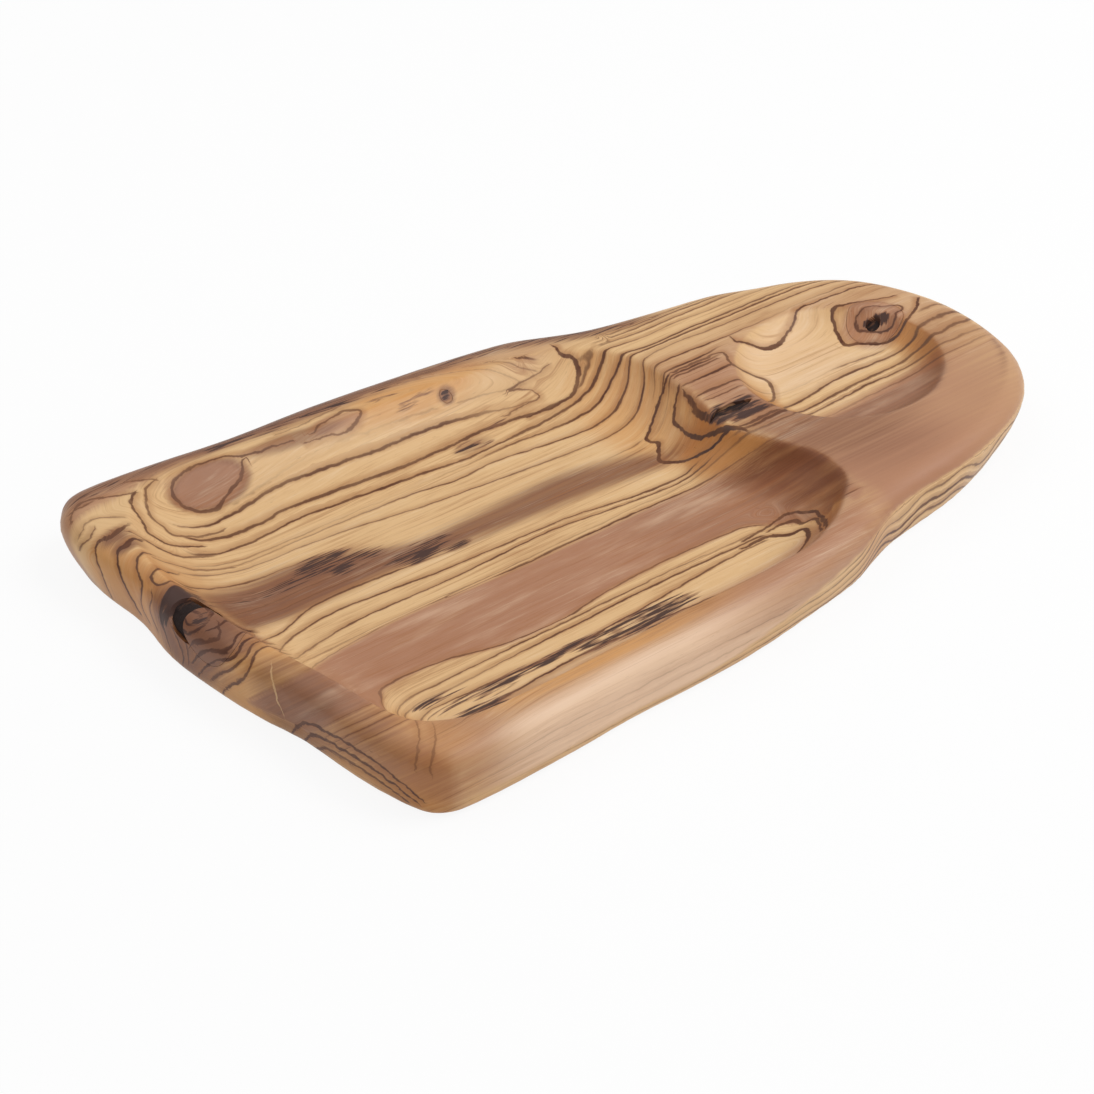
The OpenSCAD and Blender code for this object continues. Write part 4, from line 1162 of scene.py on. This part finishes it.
def floor_material():
    """Pale floor: white to the camera with a faint shadow, and clear from below."""
    material, w, shader = new_material("pale_floor")
    grain = w.noise(w.node("ShaderNodeTexCoord").outputs["Object"], *FLOOR_GRAIN)
    w.put(shader.inputs["Base Color"], w.mix(w.step(grain, -1, 1), *FLOOR_GREYS))
    shader.inputs["Roughness"].default_value = 0.9
    shader.inputs["Specular IOR Level"].default_value = 0.0
    white = w.node("ShaderNodeEmission", Color=(1, 1, 1), Strength=1.0)
    path = w.node("ShaderNodeLightPath").outputs
    seen = w.calc("MAXIMUM", path["Is Camera Ray"], path["Is Glossy Ray"])
    seen = w.calc("MAXIMUM", seen, path["Is Transmission Ray"])
    under_plate = w.calc("LESS_THAN", path["Ray Length"], 1.0 * MM)
    below = w.calc("MAXIMUM", w.node("ShaderNodeNewGeometry").outputs["Backfacing"],
                   w.calc("MULTIPLY", under_plate, path["Is Diffuse Ray"]))

    def mixed(share, first, second):
        node = w.node("ShaderNodeMixShader")
        for socket, value in zip(node.inputs, (share, first.outputs[0], second.outputs[0])):
            w.put(socket, value)
        return node

    lit = mixed(w.calc("MULTIPLY", seen, FLOOR_WHITE), shader, white)
    clear = mixed(below, lit, w.node("ShaderNodeBsdfTransparent"))
    w.put(material.node_tree.nodes["Material Output"].inputs["Surface"], clear.outputs[0])
    return material


def lay_floor():
    """Pale floor just below the plate."""
    bm = bmesh.new()
    bmesh.ops.create_grid(bm, x_segments=1, y_segments=1, size=FLOOR_HALF)
    mesh = bpy.data.meshes.new("pale_floor")
    bm.to_mesh(mesh)
    bm.free()
    mesh.transform(Matrix.Translation((0, 0, -FLOOR_DROP)))
    mesh.materials.append(floor_material())
    scene_object("pale_floor", mesh)


def set_lights(scene):
    """Even light from a world that the camera sees as white, and two soft lamps."""
    world = bpy.data.worlds.new("studio")
    scene.world = world
    world.use_nodes = True
    w = Wiring(world.node_tree)
    back = world.node_tree.nodes["Background"]
    path = w.node("ShaderNodeLightPath")
    w.put(back.inputs["Strength"], w.step(path.outputs["Is Camera Ray"], 0, 1, WORLD_LIGHT, 1.0))
    back.inputs["Color"].default_value = (1, 1, 1, 1)
    for name, place, size, power in LAMPS:
        lamp = bpy.data.lights.new(name, "AREA")
        lamp.size = size
        lamp.energy = power
        obj = scene_object(name, lamp)
        obj.location = place
        obj.rotation_euler = (-Vector(place)).to_track_quat("-Z", "Y").to_euler()


def set_camera(scene):
    """Camera at the photograph's viewing angle."""
    camera = bpy.data.cameras.new("camera")
    camera.lens = CAMERA["lens"]
    camera.sensor_width = CAMERA["sensor"]
    camera.sensor_fit = "HORIZONTAL"
    eye = scene_object("camera", camera)
    eye.location = CAMERA["place"]
    eye.rotation_euler = (math.radians(CAMERA["tilt"]), 0, math.radians(CAMERA["turn"]))
    scene.camera = eye


class PLATE_OT_set_stage(bpy.types.Operator):
    """Lay the pale floor and set the lamps and the camera."""
    bl_idname = "plate.set_stage"
    bl_label = "Set stage"

    def execute(self, context):
        context.scene.view_settings.view_transform = "Standard"
        lay_floor()
        set_lights(context.scene)
        set_camera(context.scene)
        return {"FINISHED"}


class PLATE_PT_tools(bpy.types.Panel):
    bl_label = "Olive wood plate"
    bl_idname = "PLATE_PT_tools"
    bl_space_type = "VIEW_3D"
    bl_region_type = "UI"
    bl_category = "Plate"

    def draw(self, context):
        for group in (context.scene.plate_shape, context.scene.plate_finish):
            for name in group.bl_rna.properties.keys():
                if name not in ("rna_type", "name"):
                    self.layout.prop(group, name)
        for step in STEPS:
            self.layout.operator(step.bl_idname)


STEPS = (PLATE_OT_carve_plank, PLATE_OT_let_in_knots, PLATE_OT_pack_bark, PLATE_OT_set_stage)
CLASSES = (PlateShape, PlateFinish, *STEPS, PLATE_PT_tools)


def register():
    for cls in CLASSES:
        bpy.utils.register_class(cls)
    bpy.types.Scene.plate_shape = PointerProperty(type=PlateShape)
    bpy.types.Scene.plate_finish = PointerProperty(type=PlateFinish)


def unregister():
    del bpy.types.Scene.plate_finish
    del bpy.types.Scene.plate_shape
    for cls in reversed(CLASSES):
        bpy.utils.unregister_class(cls)


def main():
    register()
    bpy.ops.plate.carve_plank()
    bpy.ops.plate.let_in_knots()
    bpy.ops.plate.pack_bark()
    bpy.ops.plate.set_stage()
    bpy.data.meshes.remove(bpy.data.meshes[BLANK])


if __name__ == "__main__":
    main()
